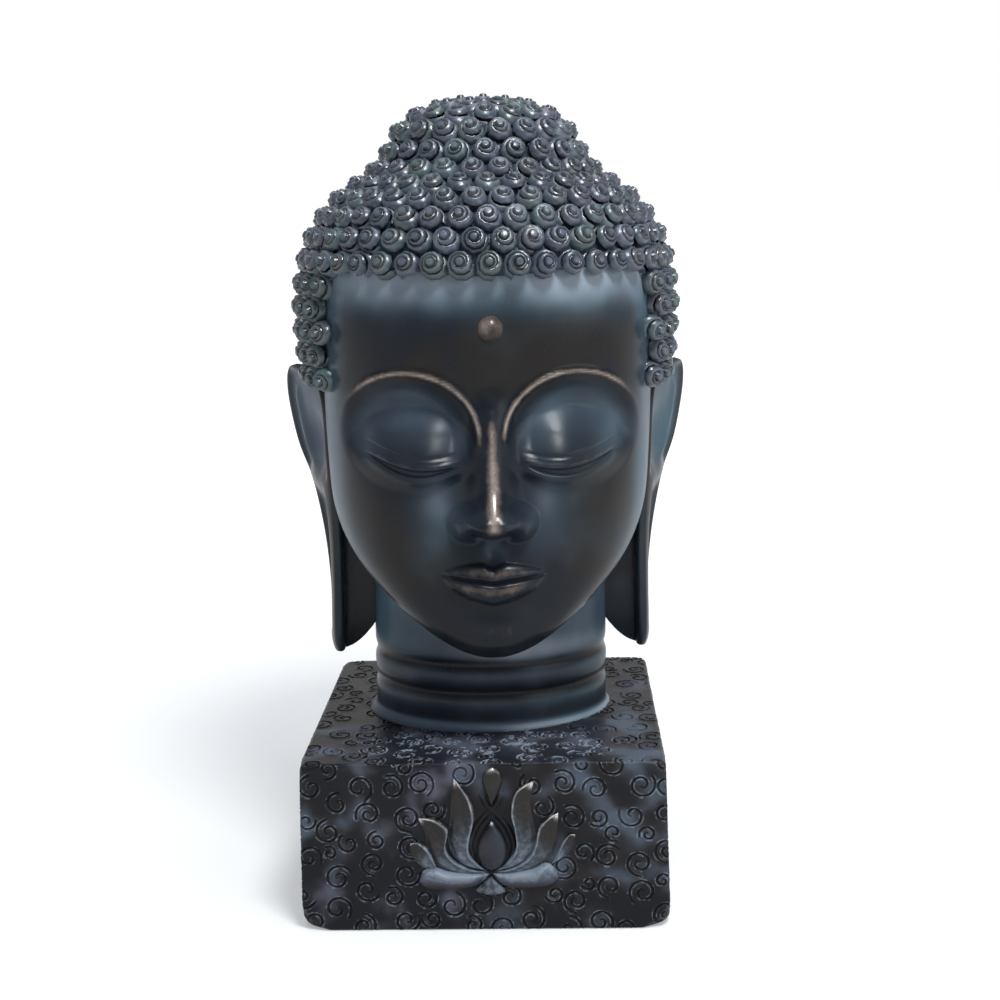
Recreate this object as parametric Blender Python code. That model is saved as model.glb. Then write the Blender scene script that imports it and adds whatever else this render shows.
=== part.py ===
# A Buddha head on a square plinth, cast as one piece.
# Metres, +Z up, the face looks along -Y, and the origin is the middle of the plinth's foot.
import math

import bmesh
import bpy
import numpy as np
from mathutils import Vector

# Driving sizes, with the head's turn on its plinth and its lean to the side in degrees
plinth_width = 0.185
plinth_depth = 0.185
plinth_height = 0.089
plinth_draft = 0.0019
plinth_edge = 0.0016
foot_corner = 0.017
head_height = 0.3325
head_offset = 0.002
head_turn = 3.5
head_lean = 0.6
neck_setback = 0.009
neck_fillet = 0.004
curl_pitch = 0.0142
curl_height = 0.0064
dot_diameter = 0.0122
relief_height = 0.0040
lotus_width = 0.081
lotus_foot = 0.0318
lotus_offset = 0.0034
sink = 0.0025

# Every proportion of the head is in fingers, the sculptor's measure: 24 from the plinth to the crown.
finger = head_height / 24

# Face skin, bottom to top: height, half width, front reach and back reach from the head's axis
face_sections = [
    (3.45, 0.30, 4.6, 0.6),
    (3.70, 1.90, 5.75, 1.5),
    (4.30, 3.45, 6.20, 2.4),
    (5.20, 4.65, 6.35, 3.2),
    (6.60, 5.55, 6.35, 4.2),
    (8.60, 6.05, 6.30, 5.4),
    (11.0, 6.22, 6.35, 6.5),
    (13.5, 6.28, 6.45, 7.1),
    (16.0, 6.30, 6.38, 7.1),
    (18.0, 6.00, 5.95, 6.9),
    (20.0, 4.60, 4.60, 5.6),
    (21.2, 2.60, 2.60, 3.4),
    (21.6, 0.30, 0.30, 0.5),
]
face_roundness = 2.3
# Mesh bands of the face: from, to and how many rows or columns (heights in fingers, turns in degrees)
face_row_bands = [(3.45, 4.3, 3), (4.3, 12.6, 26), (12.6, 14.3, 4), (14.3, 18.0, 3), (18.0, 21.6, 2)]
face_column_bands = [(-180, -66, 4), (-66, 66, 30), (66, 180, 4)]

# Scalp under the curls, crown to nape: half width and height
scalp_profile = [
    (0.0, 23.55), (1.2, 23.50), (2.45, 23.15), (3.25, 22.5), (3.7, 21.7), (4.4, 20.9),
    (5.6, 20.05), (6.6, 18.7), (7.05, 16.8), (7.0, 14.4), (6.55, 11.8), (5.8, 9.4),
    (4.9, 7.6), (4.2, 6.4), (3.6, 5.4),
]
scalp_setback = 0.80
# How much longer than wide the skull is, fading out up the round crown knot
scalp_length = 1.08
knot_foot = 19.5
knot_middle = 22.5
skull_middle = 13.5
hairline_row = 17.9
hairline = 17.45
temple_half_width = 5.75
temple_front = 3.2
hair_over_ear = 13.2
hair_behind_ear = 2.3
nape = 5.9
# Cells without hair shrink towards the skull's middle, out of sight
sunk_share = 0.80

# Neck, with the height and depth of each crease between its folds
neck_half_width = 4.64
neck_half_depth = 3.68
neck_top = 7.5
neck_creases = [(1.45, 0.11), (2.55, 0.11)]
crease_half_width = 0.16
neck_columns = 26
neck_levels = [0.0, 0.30, 0.6, 1.0, 1.27, 1.45, 1.63, 2.0, 2.37, 2.55, 2.73, 3.2, neck_top]

# Ears, bottom to top: height, front and rear edge, how far out each edge stands, and thickness
ear_sections = [
    (2.35, 0.30, 0.80, 6.05, 6.10, 0.10),
    (2.50, -0.20, 1.35, 6.02, 6.15, 0.48),
    (3.20, -0.55, 1.65, 6.02, 6.20, 0.62),
    (5.00, -0.60, 1.65, 5.98, 6.20, 0.62),
    (7.00, -0.60, 1.60, 5.95, 6.42, 0.60),
    (9.00, -0.75, 1.90, 5.98, 6.86, 0.66),
    (10.5, -0.90, 2.60, 6.02, 7.48, 0.74),
    (12.0, -0.90, 3.10, 6.05, 7.88, 0.76),
    (13.0, -0.50, 2.90, 6.25, 7.96, 0.70),
    (13.6, 0.30, 2.20, 6.70, 7.78, 0.50),
    (13.8, 1.00, 1.50, 7.10, 7.50, 0.10),
]
ear_columns = 16
ear_rows = 14
dot_height = 15.65
dot_sunk = 0.19
# The thin web between lobe and neck: its lower edge as half width and height, and its two faces
web_lower_edge = [(3.4, 3.9), (4.45, 3.62), (4.75, 3.32), (5.1, 2.93), (5.5, 2.62), (6.0, 2.42)]
web_top = 9.5
web_points = 9
web_front = 0.25
web_rear = 1.15


def smooth_step(low, high, value):
    t = np.clip((value - low) / (high - low), 0.0, 1.0)
    return t * t * (3.0 - 2.0 * t)


def hump(x, z, centre_x, centre_z, reach_x, reach_z):
    return np.exp(-(((x - centre_x) / reach_x) ** 2) - ((z - centre_z) / reach_z) ** 2)


def swell(x, z, centre_x, centre_z, reach_x, reach_z, softness):
    """A rounded swelling that ends at its reach: 0.5 is a full dome, larger runs out softly."""
    square = ((x - centre_x) / reach_x) ** 2 + ((z - centre_z) / reach_z) ** 2
    return np.clip(1.0 - square, 0.0, 1.0) ** softness


def curve_through(points, count):
    """Even steps along a smooth curve through the points."""
    points = np.array(points, float)
    padded = np.vstack([2 * points[0] - points[1], points, 2 * points[-1] - points[-2]])
    fine = []
    for i in range(len(points) - 1):
        a, b, c, d = padded[i : i + 4]
        bend, twist = 2 * a - 5 * b + 4 * c - d, 3 * b - a - 3 * c + d
        for t in np.linspace(0, 1, 24, endpoint=False):
            fine.append(b + 0.5 * ((c - a) * t + bend * t**2 + twist * t**3))
    fine = np.array(fine + [points[-1]])
    lengths = np.concatenate([[0], np.cumsum(np.linalg.norm(np.diff(fine, axis=0), axis=1))])
    wanted = np.linspace(0, lengths[-1], count)
    return np.stack([np.interp(wanted, lengths, fine[:, i]) for i in range(fine.shape[1])], 1)


section_curve = curve_through(face_sections, 400)
scalp_curve = curve_through(scalp_profile, 300)
ear_curve = curve_through(ear_sections, 200)

# Lotus petals, as shares of the lotus's width from its foot: both edges from base to tip, and how high
petals = dict(
    outer_left=(
        [
            (-0.01, 0.0), (-0.12, -0.01), (-0.24, -0.003), (-0.34, 0.044),
            (-0.39, 0.146), (-0.41, 0.26), (-0.447, 0.356),
        ],
        [
            (-0.01, 0.0), (-0.15, 0.03), (-0.25, 0.10), (-0.279, 0.18),
            (-0.262, 0.29), (-0.35, 0.352), (-0.447, 0.356),
        ],
        0.80,
    ),
    outer_right=(
        [(0.012, 0.0), (0.14, 0.03), (0.24, 0.10), (0.28, 0.19), (0.30, 0.29), (0.36, 0.35), (0.428, 0.384)],
        [
            (0.012, 0.0), (0.17, -0.01), (0.30, 0.035), (0.38, 0.10),
            (0.418, 0.18), (0.42, 0.27), (0.428, 0.384),
        ],
        0.80,
    ),
    far_left=(
        [(-0.34, 0.02), (-0.42, 0.03), (-0.475, 0.08), (-0.505, 0.14), (-0.50, 0.19)],
        [(-0.34, 0.02), (-0.365, 0.10), (-0.40, 0.165), (-0.45, 0.20), (-0.50, 0.19)],
        0.65,
    ),
    far_right=(
        [(0.38, 0.05), (0.42, 0.12), (0.45, 0.19), (0.49, 0.24), (0.53, 0.24)],
        [(0.38, 0.05), (0.44, 0.08), (0.49, 0.13), (0.525, 0.18), (0.53, 0.24)],
        0.60,
    ),
    tall_left=(
        [
            (-0.02, 0.008), (-0.15, 0.037), (-0.23, 0.105), (-0.262, 0.21),
            (-0.248, 0.356), (-0.238, 0.48), (-0.217, 0.614),
        ],
        [
            (-0.02, 0.008), (-0.09, 0.06), (-0.134, 0.13), (-0.128, 0.22),
            (-0.095, 0.36), (-0.125, 0.49), (-0.217, 0.614),
        ],
        0.92,
    ),
    tall_right=(
        [
            (0.022, 0.009), (0.09, 0.05), (0.158, 0.16), (0.150, 0.29),
            (0.130, 0.40), (0.165, 0.53), (0.279, 0.594),
        ],
        [
            (0.022, 0.009), (0.186, 0.044), (0.262, 0.12), (0.286, 0.22),
            (0.268, 0.36), (0.256, 0.47), (0.279, 0.594),
        ],
        0.92,
    ),
    middle_bud=(
        [(0.001, 0.012), (-0.055, 0.045), (-0.085, 0.132), (-0.062, 0.225), (-0.02, 0.29), (0.012, 0.336)],
        [(0.001, 0.012), (0.07, 0.045), (0.102, 0.132), (0.08, 0.225), (0.04, 0.29), (0.012, 0.336)],
        0.90,
    ),
    upper_bud=(
        [(0.012, 0.43), (-0.015, 0.50), (-0.04, 0.585), (-0.03, 0.645), (0.022, 0.68)],
        [(0.012, 0.43), (0.05, 0.50), (0.082, 0.585), (0.072, 0.645), (0.022, 0.68)],
        0.60,
    ),
    low_left=(
        [(-0.006, -0.006), (-0.05, -0.06), (-0.13, -0.10), (-0.27, -0.112), (-0.40, -0.105), (-0.455, -0.06)],
        [(-0.006, -0.006), (-0.13, 0.004), (-0.27, 0.012), (-0.36, 0.034), (-0.425, 0.01), (-0.455, -0.06)],
        1.0,
    ),
    low_right=(
        [(0.007, -0.006), (0.15, 0.01), (0.27, 0.026), (0.345, 0.058), (0.40, 0.02), (0.425, -0.04)],
        [(0.007, -0.006), (0.055, -0.07), (0.125, -0.104), (0.24, -0.107), (0.36, -0.092), (0.425, -0.04)],
        1.0,
    ),
    drop=(
        [(0.002, -0.03), (-0.055, -0.075), (-0.10, -0.12), (-0.05, -0.142), (0.0, -0.147)],
        [(0.002, -0.03), (0.045, -0.075), (0.085, -0.125), (0.05, -0.142), (0.0, -0.147)],
        0.70,
    ),
)
petal_columns = 8
petal_rows = 5
petal_fullness = 0.9
petal_step = 0.0009


# Face, in fingers: x from the middle line, z above the plinth's top
brow = dict(
    x=3.00,
    z=11.85,
    half_width=2.48,
    height=2.20,
    ridge=0.12,
    ridge_width=0.13,
    hollow=0.62,
    fade_low=9.95,
    fade_high=11.95,
    lip_full=1.5,
    lip_end=0.1,
)
eye = dict(
    x=2.82,
    z=11.25,
    ball_width=2.35,
    ball_above=1.65,
    ball_below=1.45,
    ball=0.84,
    softness=1.5,
    inner=1.18,
    outer=4.50,
)
lid = dict(z=10.90, sag=0.30, gap=0.24, step=0.16, crease=0.40)
nose = dict(root=12.9, tip=9.05, base=8.30, root_height=0.30, tip_height=1.30, root_side=0.78, tip_side=1.25)
nose_tip = dict(z=9.10, width=1.00, height=1.05, reach=0.26, softness=1.6)
wing = dict(x=0.84, z=8.86, width=0.80, height=0.74, reach=1.0, softness=1.15)
mouth = dict(z=6.80, half_width=1.92, upper=0.64, lower=0.82, reach=0.40, bow=0.10, smile=0.18)
# The parting line's depth, half width, and where along the lips it is still full and where it ends
parting = dict(depth=0.16, width=0.07, full=0.9, end=1.12)
muzzle = dict(z=6.90, width=2.3, height=1.7, reach=0.36)
chin = dict(z=4.75, width=1.35, height=0.85, reach=0.42)
chin_fold = dict(z=5.62, width=1.1, height=0.26, depth=0.16)
cheek = dict(x=3.45, z=8.55, width=2.0, height=2.0, reach=0.32)
# The jaw's underside rises towards the ears
jaw = dict(slope=0.34, start=9.5, full=4.0, front=5.6, length=7.0)


def brow_relief(x, z):
    """The eye's hollow under an arched brow, with a thin raised lip along the arch."""
    ring = np.hypot((x - brow["x"]) / brow["half_width"], (z - brow["z"]) / brow["height"])
    above = smooth_step(brow["fade_low"], brow["fade_high"], z)
    hollow = smooth_step(1.03, 0.62, ring) * above
    lip_end = brow["x"] + brow["half_width"] + brow["lip_end"]
    outer_fade = smooth_step(lip_end, brow["x"] + brow["lip_full"], x)
    lip = np.exp(-(((ring - 1.03) * brow["height"] / brow["ridge_width"]) ** 2))
    lip = lip * smooth_step(brow["z"] - 0.6, brow["z"] + 0.4, z) * outer_fade
    return brow["ridge"] * lip - brow["hollow"] * hollow


def lid_edges(x):
    """Heights of the upper and the lower lid's edge across the eye."""
    t = np.clip((x - eye["inner"]) / (eye["outer"] - eye["inner"]), 0.0, 1.0)
    arch = np.sin(math.pi * t)
    rise = 0.30 * t**1.5
    upper = lid["z"] + rise - lid["sag"] * arch * (1.0 - 0.35 * t)
    return upper, upper - lid["gap"] * arch**0.7


def eye_relief(x, z):
    """A round lid over the eyeball, nearly closed, with a creased upper lid."""
    reach = np.where(z > eye["z"], eye["ball_above"], eye["ball_below"])
    ball = swell(x, z, eye["x"], eye["z"], eye["ball_width"], reach, eye["softness"])
    upper, lower = lid_edges(x)
    across = smooth_step(eye["inner"] - 0.1, eye["inner"] + 0.35, x) * smooth_step(
        eye["outer"] + 0.25, eye["outer"] - 0.35, x
    )
    opening = smooth_step(upper + 0.02, upper - 0.05, z) * smooth_step(lower - 0.05, lower + 0.02, z)
    crease = np.exp(-(((z - upper - lid["crease"]) / 0.06) ** 2))
    rim = np.exp(-(((z - upper - 0.10) / 0.10) ** 2))
    lower_lid = np.exp(-(((z - lower + 0.16) / 0.17) ** 2))
    return eye["ball"] * ball + across * (
        0.05 * rim - lid["step"] * opening - 0.05 * crease + 0.07 * lower_lid
    )


def nose_relief(x, z):
    """A straight ridge from the brows to a rounded tip, with two wings."""
    t = np.clip((nose["root"] - z) / (nose["root"] - nose["tip"]), 0.0, 1.0)
    height = nose["root_height"] + (nose["tip_height"] - nose["root_height"]) * t**1.1
    height = height * smooth_step(nose["root"] + 0.9, nose["root"] - 0.5, z)
    under = smooth_step(nose["base"] - 0.12, nose["base"] + 0.46, z)
    side = nose["root_side"] + (nose["tip_side"] - nose["root_side"]) * t
    crest = 0.16 + 0.30 * t**2
    flank = smooth_step(side, crest, np.abs(x))
    ridge = height * flank**1.1 * under
    softness = wing["softness"]
    wings = swell(np.abs(x), z, wing["x"], wing["z"], wing["width"], wing["height"], softness)
    wings = wing["reach"] * wings
    softness = nose_tip["softness"]
    ball = nose_tip["reach"] * swell(x, z, 0.0, nose_tip["z"], nose_tip["width"], nose_tip["height"], softness)
    nostril = 0.20 * hump(np.abs(x), z, 0.50, nose["base"] + 0.12, 0.22, 0.13)
    return ridge + ball * under + wings * (1.0 - 0.65 * flank) - nostril


def mouth_relief(x, z):
    """Full closed lips with a slight smile, on a softly swelling muzzle."""
    side = np.abs(x) / mouth["half_width"]
    inside = np.clip(1.0 - side**2, 0.0, 1.0)
    line = mouth["z"] + mouth["smile"] * side**2 - mouth["bow"] * np.exp(-((x / 0.32) ** 2)) * 0.6
    top = line + mouth["upper"] * inside**0.8 - 0.12 * np.exp(-((x / 0.22) ** 2)) * inside
    bottom = line - mouth["lower"] * inside**0.62
    up = np.clip((z - line) / np.maximum(top - line, 1e-3), -1.0, 2.0)
    down = np.clip((line - z) / np.maximum(line - bottom, 1e-3), -1.0, 2.0)
    taper = inside**0.45
    upper_lip = np.sqrt(np.clip(1.0 - (up - 0.10) ** 2 / 0.85, 0, 1)) * (z >= line)
    lower_lip = np.sqrt(np.clip(1.0 - (down - 0.28) ** 2 / 0.56, 0, 1)) * (z < line)
    groove = parting["depth"] * np.exp(-(((z - line) / parting["width"]) ** 2))
    groove = groove * smooth_step(parting["end"], parting["full"], side)
    swelling = muzzle["reach"] * hump(x, z, 0.0, muzzle["z"], muzzle["width"], muzzle["height"])
    philtrum = 0.10 * hump(x, z, 0.0, mouth["z"] + 1.05, 0.20, 0.42)
    ridges = 0.06 * hump(np.abs(x), z, 0.33, mouth["z"] + 1.0, 0.13, 0.45)
    corners = 0.10 * hump(np.abs(x), z, mouth["half_width"] + 0.12, mouth["z"] + mouth["smile"], 0.36, 0.40)
    lips = mouth["reach"] * taper * (0.85 * upper_lip + lower_lip)
    return swelling + lips * smooth_step(1.0, 0.8, side) - groove - philtrum + ridges - corners


def face_relief(x, z):
    """How far the face stands forward of its plain sections, in fingers."""
    wide = np.abs(x)
    relief = brow_relief(wide, z) + eye_relief(wide, z) + mouth_relief(x, z)
    relief = relief + cheek["reach"] * hump(wide, z, cheek["x"], cheek["z"], cheek["width"], cheek["height"])
    relief = relief + chin["reach"] * hump(x, z, 0.0, chin["z"], chin["width"], chin["height"])
    fold = hump(x, z, 0.0, chin_fold["z"], chin_fold["width"], chin_fold["height"])
    relief = relief - chin_fold["depth"] * fold
    return relief + nose_relief(x, z)


def banded(bands, share):
    """Where a share from 0 to 1 falls along bands that each hold their own number of steps."""
    stops = [bands[0][0]] + [high for _, high, _ in bands]
    steps = np.cumsum([0] + [count for _, _, count in bands])
    return np.interp(share * steps[-1], steps, stops)


def steps_in(bands):
    return sum(count for _, _, count in bands)


def face_points(across, up):
    """Points of the face skin for columns from -1 to 1 around the head and rows from 0 to 1 up it."""
    angle = np.radians(banded(face_column_bands, (across + 1) / 2))
    z = banded(face_row_bands, up)
    half_width, front, back = (np.interp(z, section_curve[:, 0], section_curve[:, i]) for i in (1, 2, 3))
    s, c = np.sin(angle), np.cos(angle)
    depth = np.where(c > 0, front, back)
    square = np.abs(s / half_width) ** face_roundness + np.abs(c / depth) ** face_roundness
    reach = square ** (-1 / face_roundness)
    x, y = reach * s, -reach * c
    slope = jaw["slope"] * smooth_step(jaw["start"], jaw["full"], z)
    z = z + slope * np.clip(y + jaw["front"], 0.0, jaw["length"])
    facing = smooth_step(0.20, 0.60, c) * smooth_step(3.6, 4.3, z)
    return x, y - face_relief(x, z) * facing, z


# The solids
def clear_scene():
    for old in list(bpy.data.objects):
        bpy.data.objects.remove(old)


def finish_mesh(name, bm, rounded=True):
    bmesh.ops.recalc_face_normals(bm, faces=bm.faces)
    for face in bm.faces:
        face.smooth = rounded
    mesh = bpy.data.meshes.new(name)
    bm.to_mesh(mesh)
    bm.free()
    thing = bpy.data.objects.new(name, mesh)
    bpy.context.collection.objects.link(thing)
    return thing


def tube_of_rows(columns, rows, place, unit=finger):
    """A grid rolled up into a closed skin: place(across -1 to 1, up 0 to 1) gives the points."""
    bm = bmesh.new()
    bmesh.ops.create_grid(bm, x_segments=columns, y_segments=rows, size=1)
    spots = np.array([v.co[:2] for v in bm.verts])
    points = np.stack(place(spots[:, 0], (spots[:, 1] + 1) / 2), 1)
    for vert, point in zip(bm.verts, points):
        vert.co = point * unit
    bmesh.ops.remove_doubles(bm, verts=bm.verts, dist=0.00002)
    rims = [e for e in bm.edges if e.is_boundary]
    bmesh.ops.holes_fill(bm, edges=rims, sides=0)
    return bm


def curl_rows():
    """Rings of curl roots from the crown to the nape, with a curl at the hairline's middle."""
    pitch = curl_pitch / finger
    lengths = np.concatenate([[0], np.cumsum(np.linalg.norm(np.diff(scalp_curve, axis=0), axis=1))])
    to_hairline = np.interp(-hairline_row, -scalp_curve[:, 1], lengths)
    rows_above = round(to_hairline / (pitch * math.sqrt(3) / 2))
    row_gap = to_hairline / rows_above
    rows = []
    for row in range(int(lengths[-1] / row_gap) + 1):
        radius, z = (float(np.interp(row * row_gap, lengths, scalp_curve[:, i])) for i in (0, 1))
        long_way = 1 + (scalp_length - 1) * float(smooth_step(knot_middle, knot_foot, z))
        count = max(1, round(math.pi * radius * (1 + long_way) / pitch))
        shift = 0.5 * ((row - rows_above) % 2)
        turns = [2 * math.pi * (k + shift) / count for k in range(count)]
        rows.append(
            [(radius * math.sin(t), scalp_setback - radius * long_way * math.cos(t), z) for t in turns]
        )
    return rows


def on_scalp(point):
    """Whether hair grows at this point of the scalp."""
    x, y, z = point
    if z > hairline:
        return True
    beside_temple = abs(x) > temple_half_width and y > -temple_front and z > hair_over_ear
    return beside_temple or (y > hair_behind_ear and z > nape)


def make_hair():
    """One cell to a curl, its middle drawn out to a stud. Cells of the face are sunk out of sight."""
    middle = Vector((0, scalp_setback, skull_middle))
    bm = bmesh.new()
    roots = {}
    for ring in curl_rows():
        for point in ring:
            root = Vector(point)
            roots[bm.verts.new((root - middle).normalized())] = root
    bmesh.ops.convex_hull(bm, input=bm.verts)
    sides = list(bm.edges)
    for vert, root in roots.items():
        vert.co = root
    bmesh.ops.poke(bm, faces=bm.faces)
    bmesh.ops.dissolve_edges(bm, edges=sides, use_verts=False)
    bmesh.ops.triangulate(bm, faces=bm.faces, quad_method="SHORT_EDGE")
    bm.normal_update()
    hairy = [vert for vert, root in roots.items() if on_scalp(root)]
    kept = set(hairy)
    for vert in hairy:
        kept.update(edge.other_vert(vert) for edge in vert.link_edges)
    for vert, outward in [(vert, vert.normal.copy()) for vert in hairy]:
        vert.co += outward * curl_height / finger
    for vert in bm.verts:
        if vert not in kept:
            vert.co = middle + (vert.co - middle) * sunk_share
        vert.co = vert.co * finger
    return finish_mesh("hair", bm, rounded=False)


def neck_points(across, up):
    """The neck's rings: a spread foot, then folds between creases."""
    angle = math.pi * across
    z = -sink / finger + up * (neck_top + sink / finger)
    foot = neck_fillet / finger
    flare = foot * (1 - np.sqrt(np.clip(1 - (1 - np.clip(z / foot, 0, 1)) ** 2, 0, 1)))
    for height, depth in neck_creases:
        flare = flare - depth * np.exp(-(((z - height) / crease_half_width) ** 2))
    x = (neck_half_width + flare) * np.sin(angle)
    y = neck_setback / finger - (neck_half_depth + flare) * np.cos(angle)
    return x, y, z


def make_neck():
    lowest = -sink / finger
    steps = [0.0] + [(z - lowest) / (neck_top - lowest) for z in neck_levels]

    def place(across, up):
        return neck_points(across, np.interp(up, np.linspace(0, 1, len(steps)), steps))

    return finish_mesh("neck", tube_of_rows(neck_columns, len(steps) - 1, place))


def make_face():
    skin = tube_of_rows(steps_in(face_column_bands), steps_in(face_row_bands), face_points)
    return finish_mesh("face", skin)


def ear_hollow(chord, z):
    """How deep the ear's outer side is carved, from its front edge (-1) to its rear rim (1)."""
    shell = smooth_step(0.86, 0.58, np.abs(chord)) * smooth_step(9.4, 10.4, z) * smooth_step(13.6, 13.0, z)
    bowl = hump(chord, z, -0.25, 11.0, 0.38, 1.1)
    slot = smooth_step(0.55, 0.25, np.abs(chord)) * smooth_step(3.0, 4.0, z) * smooth_step(9.0, 8.0, z)
    return 0.24 * shell + 0.30 * bowl + 0.20 * slot


def ear_points(across, up):
    """Right ear: closed rings round a leaning blade, carved on its outer side."""
    angle = math.pi * across
    z, front, rear, out_front, out_rear, thick = (
        np.interp(up, np.linspace(0, 1, len(ear_curve)), ear_curve[:, i]) for i in range(6)
    )
    chord, side = np.cos(angle), np.sin(angle)
    y = (front + rear) / 2 + (rear - front) / 2 * chord
    x = (out_front + out_rear) / 2 + (out_rear - out_front) / 2 * chord
    bulge = np.sign(side) * np.abs(side) ** 0.7 * thick / 2
    return x + bulge - ear_hollow(chord, z) * (side > 0.2), y, z


def mirrored(source, name):
    bm = bmesh.new()
    bm.from_mesh(source.data)
    bmesh.ops.scale(bm, vec=(-1, 1, 1), verts=bm.verts)
    bmesh.ops.reverse_faces(bm, faces=bm.faces)
    return finish_mesh(name, bm)


def make_ear():
    return finish_mesh("ear", tube_of_rows(ear_columns, ear_rows, ear_points))


def make_web():
    """The thin web that ties the lobe back to the neck, its lower edge scooped."""
    bm = bmesh.new()
    lower = curve_through(web_lower_edge, web_points)
    outline = [*lower, (lower[-1][0], web_top), (lower[0][0], web_top)]
    rim = [bm.verts.new((x * finger, web_front * finger, z * finger)) for x, z in outline]
    face = bm.faces.new(rim)
    made = bmesh.ops.extrude_face_region(bm, geom=[face])
    moved = [v for v in made["geom"] if isinstance(v, bmesh.types.BMVert)]
    bmesh.ops.translate(bm, vec=(0, (web_rear - web_front) * finger, 0), verts=moved)
    return finish_mesh("web", bm, rounded=False)


def make_dot():
    """The forehead's round mark, seated in the skin."""
    front = float(np.interp(dot_height, section_curve[:, 0], section_curve[:, 2]))
    bm = bmesh.new()
    bmesh.ops.create_icosphere(bm, subdivisions=2, radius=dot_diameter / 2)
    bmesh.ops.translate(bm, vec=(0, (dot_sunk - front) * finger, dot_height * finger), verts=bm.verts)
    return finish_mesh("dot", bm)


def make_plinth():
    """A block a little wider at the foot, with its lower corners rubbed round."""
    bm = bmesh.new()
    bmesh.ops.create_cube(bm, size=1)
    bmesh.ops.scale(bm, vec=(plinth_width, plinth_depth, plinth_height), verts=bm.verts)
    bmesh.ops.translate(bm, vec=(0, 0, plinth_height / 2), verts=bm.verts)
    low = [v for v in bm.verts if v.co.z < plinth_height / 2]
    for vert in low:
        vert.co.x += math.copysign(plinth_draft, vert.co.x)
        vert.co.y += math.copysign(plinth_draft, vert.co.y)
    shape = dict(profile=0.5, material=-1, clamp_overlap=True)
    bmesh.ops.bevel(bm, geom=low, offset=foot_corner, segments=4, affect="VERTICES", **shape)
    sharp = [e for e in bm.edges if e.calc_length() > foot_corner * 2]
    bmesh.ops.bevel(bm, geom=sharp, offset=plinth_edge, segments=2, affect="EDGES", **shape)
    return finish_mesh("plinth", bm, rounded=False)


def make_petal(name):
    """A lens between the petal's two edges, almost half of it sunk in the plinth's front."""
    left, right, height = petals[name]
    edges = [curve_through(edge, 60) for edge in (left, right)]

    def place(across, up):
        angle = math.pi * across
        share = (1 - np.cos(angle)) / 2
        along = np.linspace(0, 1, len(edges[0]))
        x_left, z_left = (np.interp(up, along, edges[0][:, i]) for i in (0, 1))
        x_right, z_right = (np.interp(up, along, edges[1][:, i]) for i in (0, 1))
        x = x_left + (x_right - x_left) * share
        z = z_left + (z_right - z_left) * share
        taper = np.sin(math.pi * np.clip(up, 0.0, 1.0) ** petal_fullness) ** 0.45
        rise = height / lotus_width * (petal_step + relief_height * taper * np.sin(angle))
        level = (lotus_foot + z * lotus_width) / plinth_height
        face = -(plinth_depth / 2 + plinth_draft * (1 - level)) / lotus_width
        return x + lotus_offset / lotus_width, face - rise, z + lotus_foot / lotus_width

    return finish_mesh(name, tube_of_rows(petal_columns, petal_rows, place, lotus_width))


def make_statue():
    """The plinth, with every carved form joined to it in one casting."""
    casting = make_plinth()
    casting.name = "statue"
    ear, web = make_ear(), make_web()
    head = [make_neck(), make_face(), make_hair(), make_dot(), ear, web]
    head += [mirrored(ear, "left_ear"), mirrored(web, "left_web")]
    for form in head:
        form.location = (head_offset, 0, plinth_height)
        form.rotation_euler = (0, math.radians(head_lean), math.radians(head_turn))
    carved = bpy.data.collections.new("carved")
    bpy.context.scene.collection.children.link(carved)
    for form in head + [make_petal(name) for name in petals]:
        bpy.context.collection.objects.unlink(form)
        carved.objects.link(form)
        form.hide_render = True
        form.display_type = "WIRE"
    join = casting.modifiers.new("cast as one", "BOOLEAN")
    join.operation = "UNION"
    join.solver = "EXACT"
    join.operand_type = "COLLECTION"
    join.collection = carved
    return casting


def make_finish():
    finish = bpy.data.materials.new("dark patina")
    finish.use_nodes = True
    shader = finish.node_tree.nodes["Principled BSDF"]
    shader.inputs["Base Color"].default_value = (0.035, 0.045, 0.06, 1)
    shader.inputs["Roughness"].default_value = 0.38
    shader.inputs["Metallic"].default_value = 0.35
    return finish


clear_scene()
statue = make_statue()
statue.data.materials.append(make_finish())
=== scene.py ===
import math
import random

import bmesh
import bpy
import numpy as np
from mathutils import Matrix, Vector, kdtree


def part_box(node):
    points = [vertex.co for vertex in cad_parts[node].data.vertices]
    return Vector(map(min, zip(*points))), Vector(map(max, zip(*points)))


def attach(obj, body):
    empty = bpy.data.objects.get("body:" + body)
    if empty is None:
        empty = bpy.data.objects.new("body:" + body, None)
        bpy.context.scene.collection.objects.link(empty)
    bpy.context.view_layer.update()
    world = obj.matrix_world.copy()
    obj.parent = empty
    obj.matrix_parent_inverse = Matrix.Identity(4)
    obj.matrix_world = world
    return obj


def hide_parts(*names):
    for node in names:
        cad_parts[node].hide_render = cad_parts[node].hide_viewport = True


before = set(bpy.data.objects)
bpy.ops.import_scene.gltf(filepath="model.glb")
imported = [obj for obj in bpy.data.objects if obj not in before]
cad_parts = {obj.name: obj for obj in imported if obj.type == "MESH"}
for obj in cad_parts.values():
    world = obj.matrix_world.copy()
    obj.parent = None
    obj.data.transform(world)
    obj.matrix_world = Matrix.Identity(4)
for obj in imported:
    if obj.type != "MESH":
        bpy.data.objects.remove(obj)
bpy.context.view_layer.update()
low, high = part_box("statue")
print("frame loaded")

# Camera at the photograph's viewing angle, in metres and degrees
camera = {"place": (0.0400, -0.8486, 0.3668), "heading": 2.08, "pitch": 10.73, "roll": -1.42, "lens": 57.01}

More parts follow.
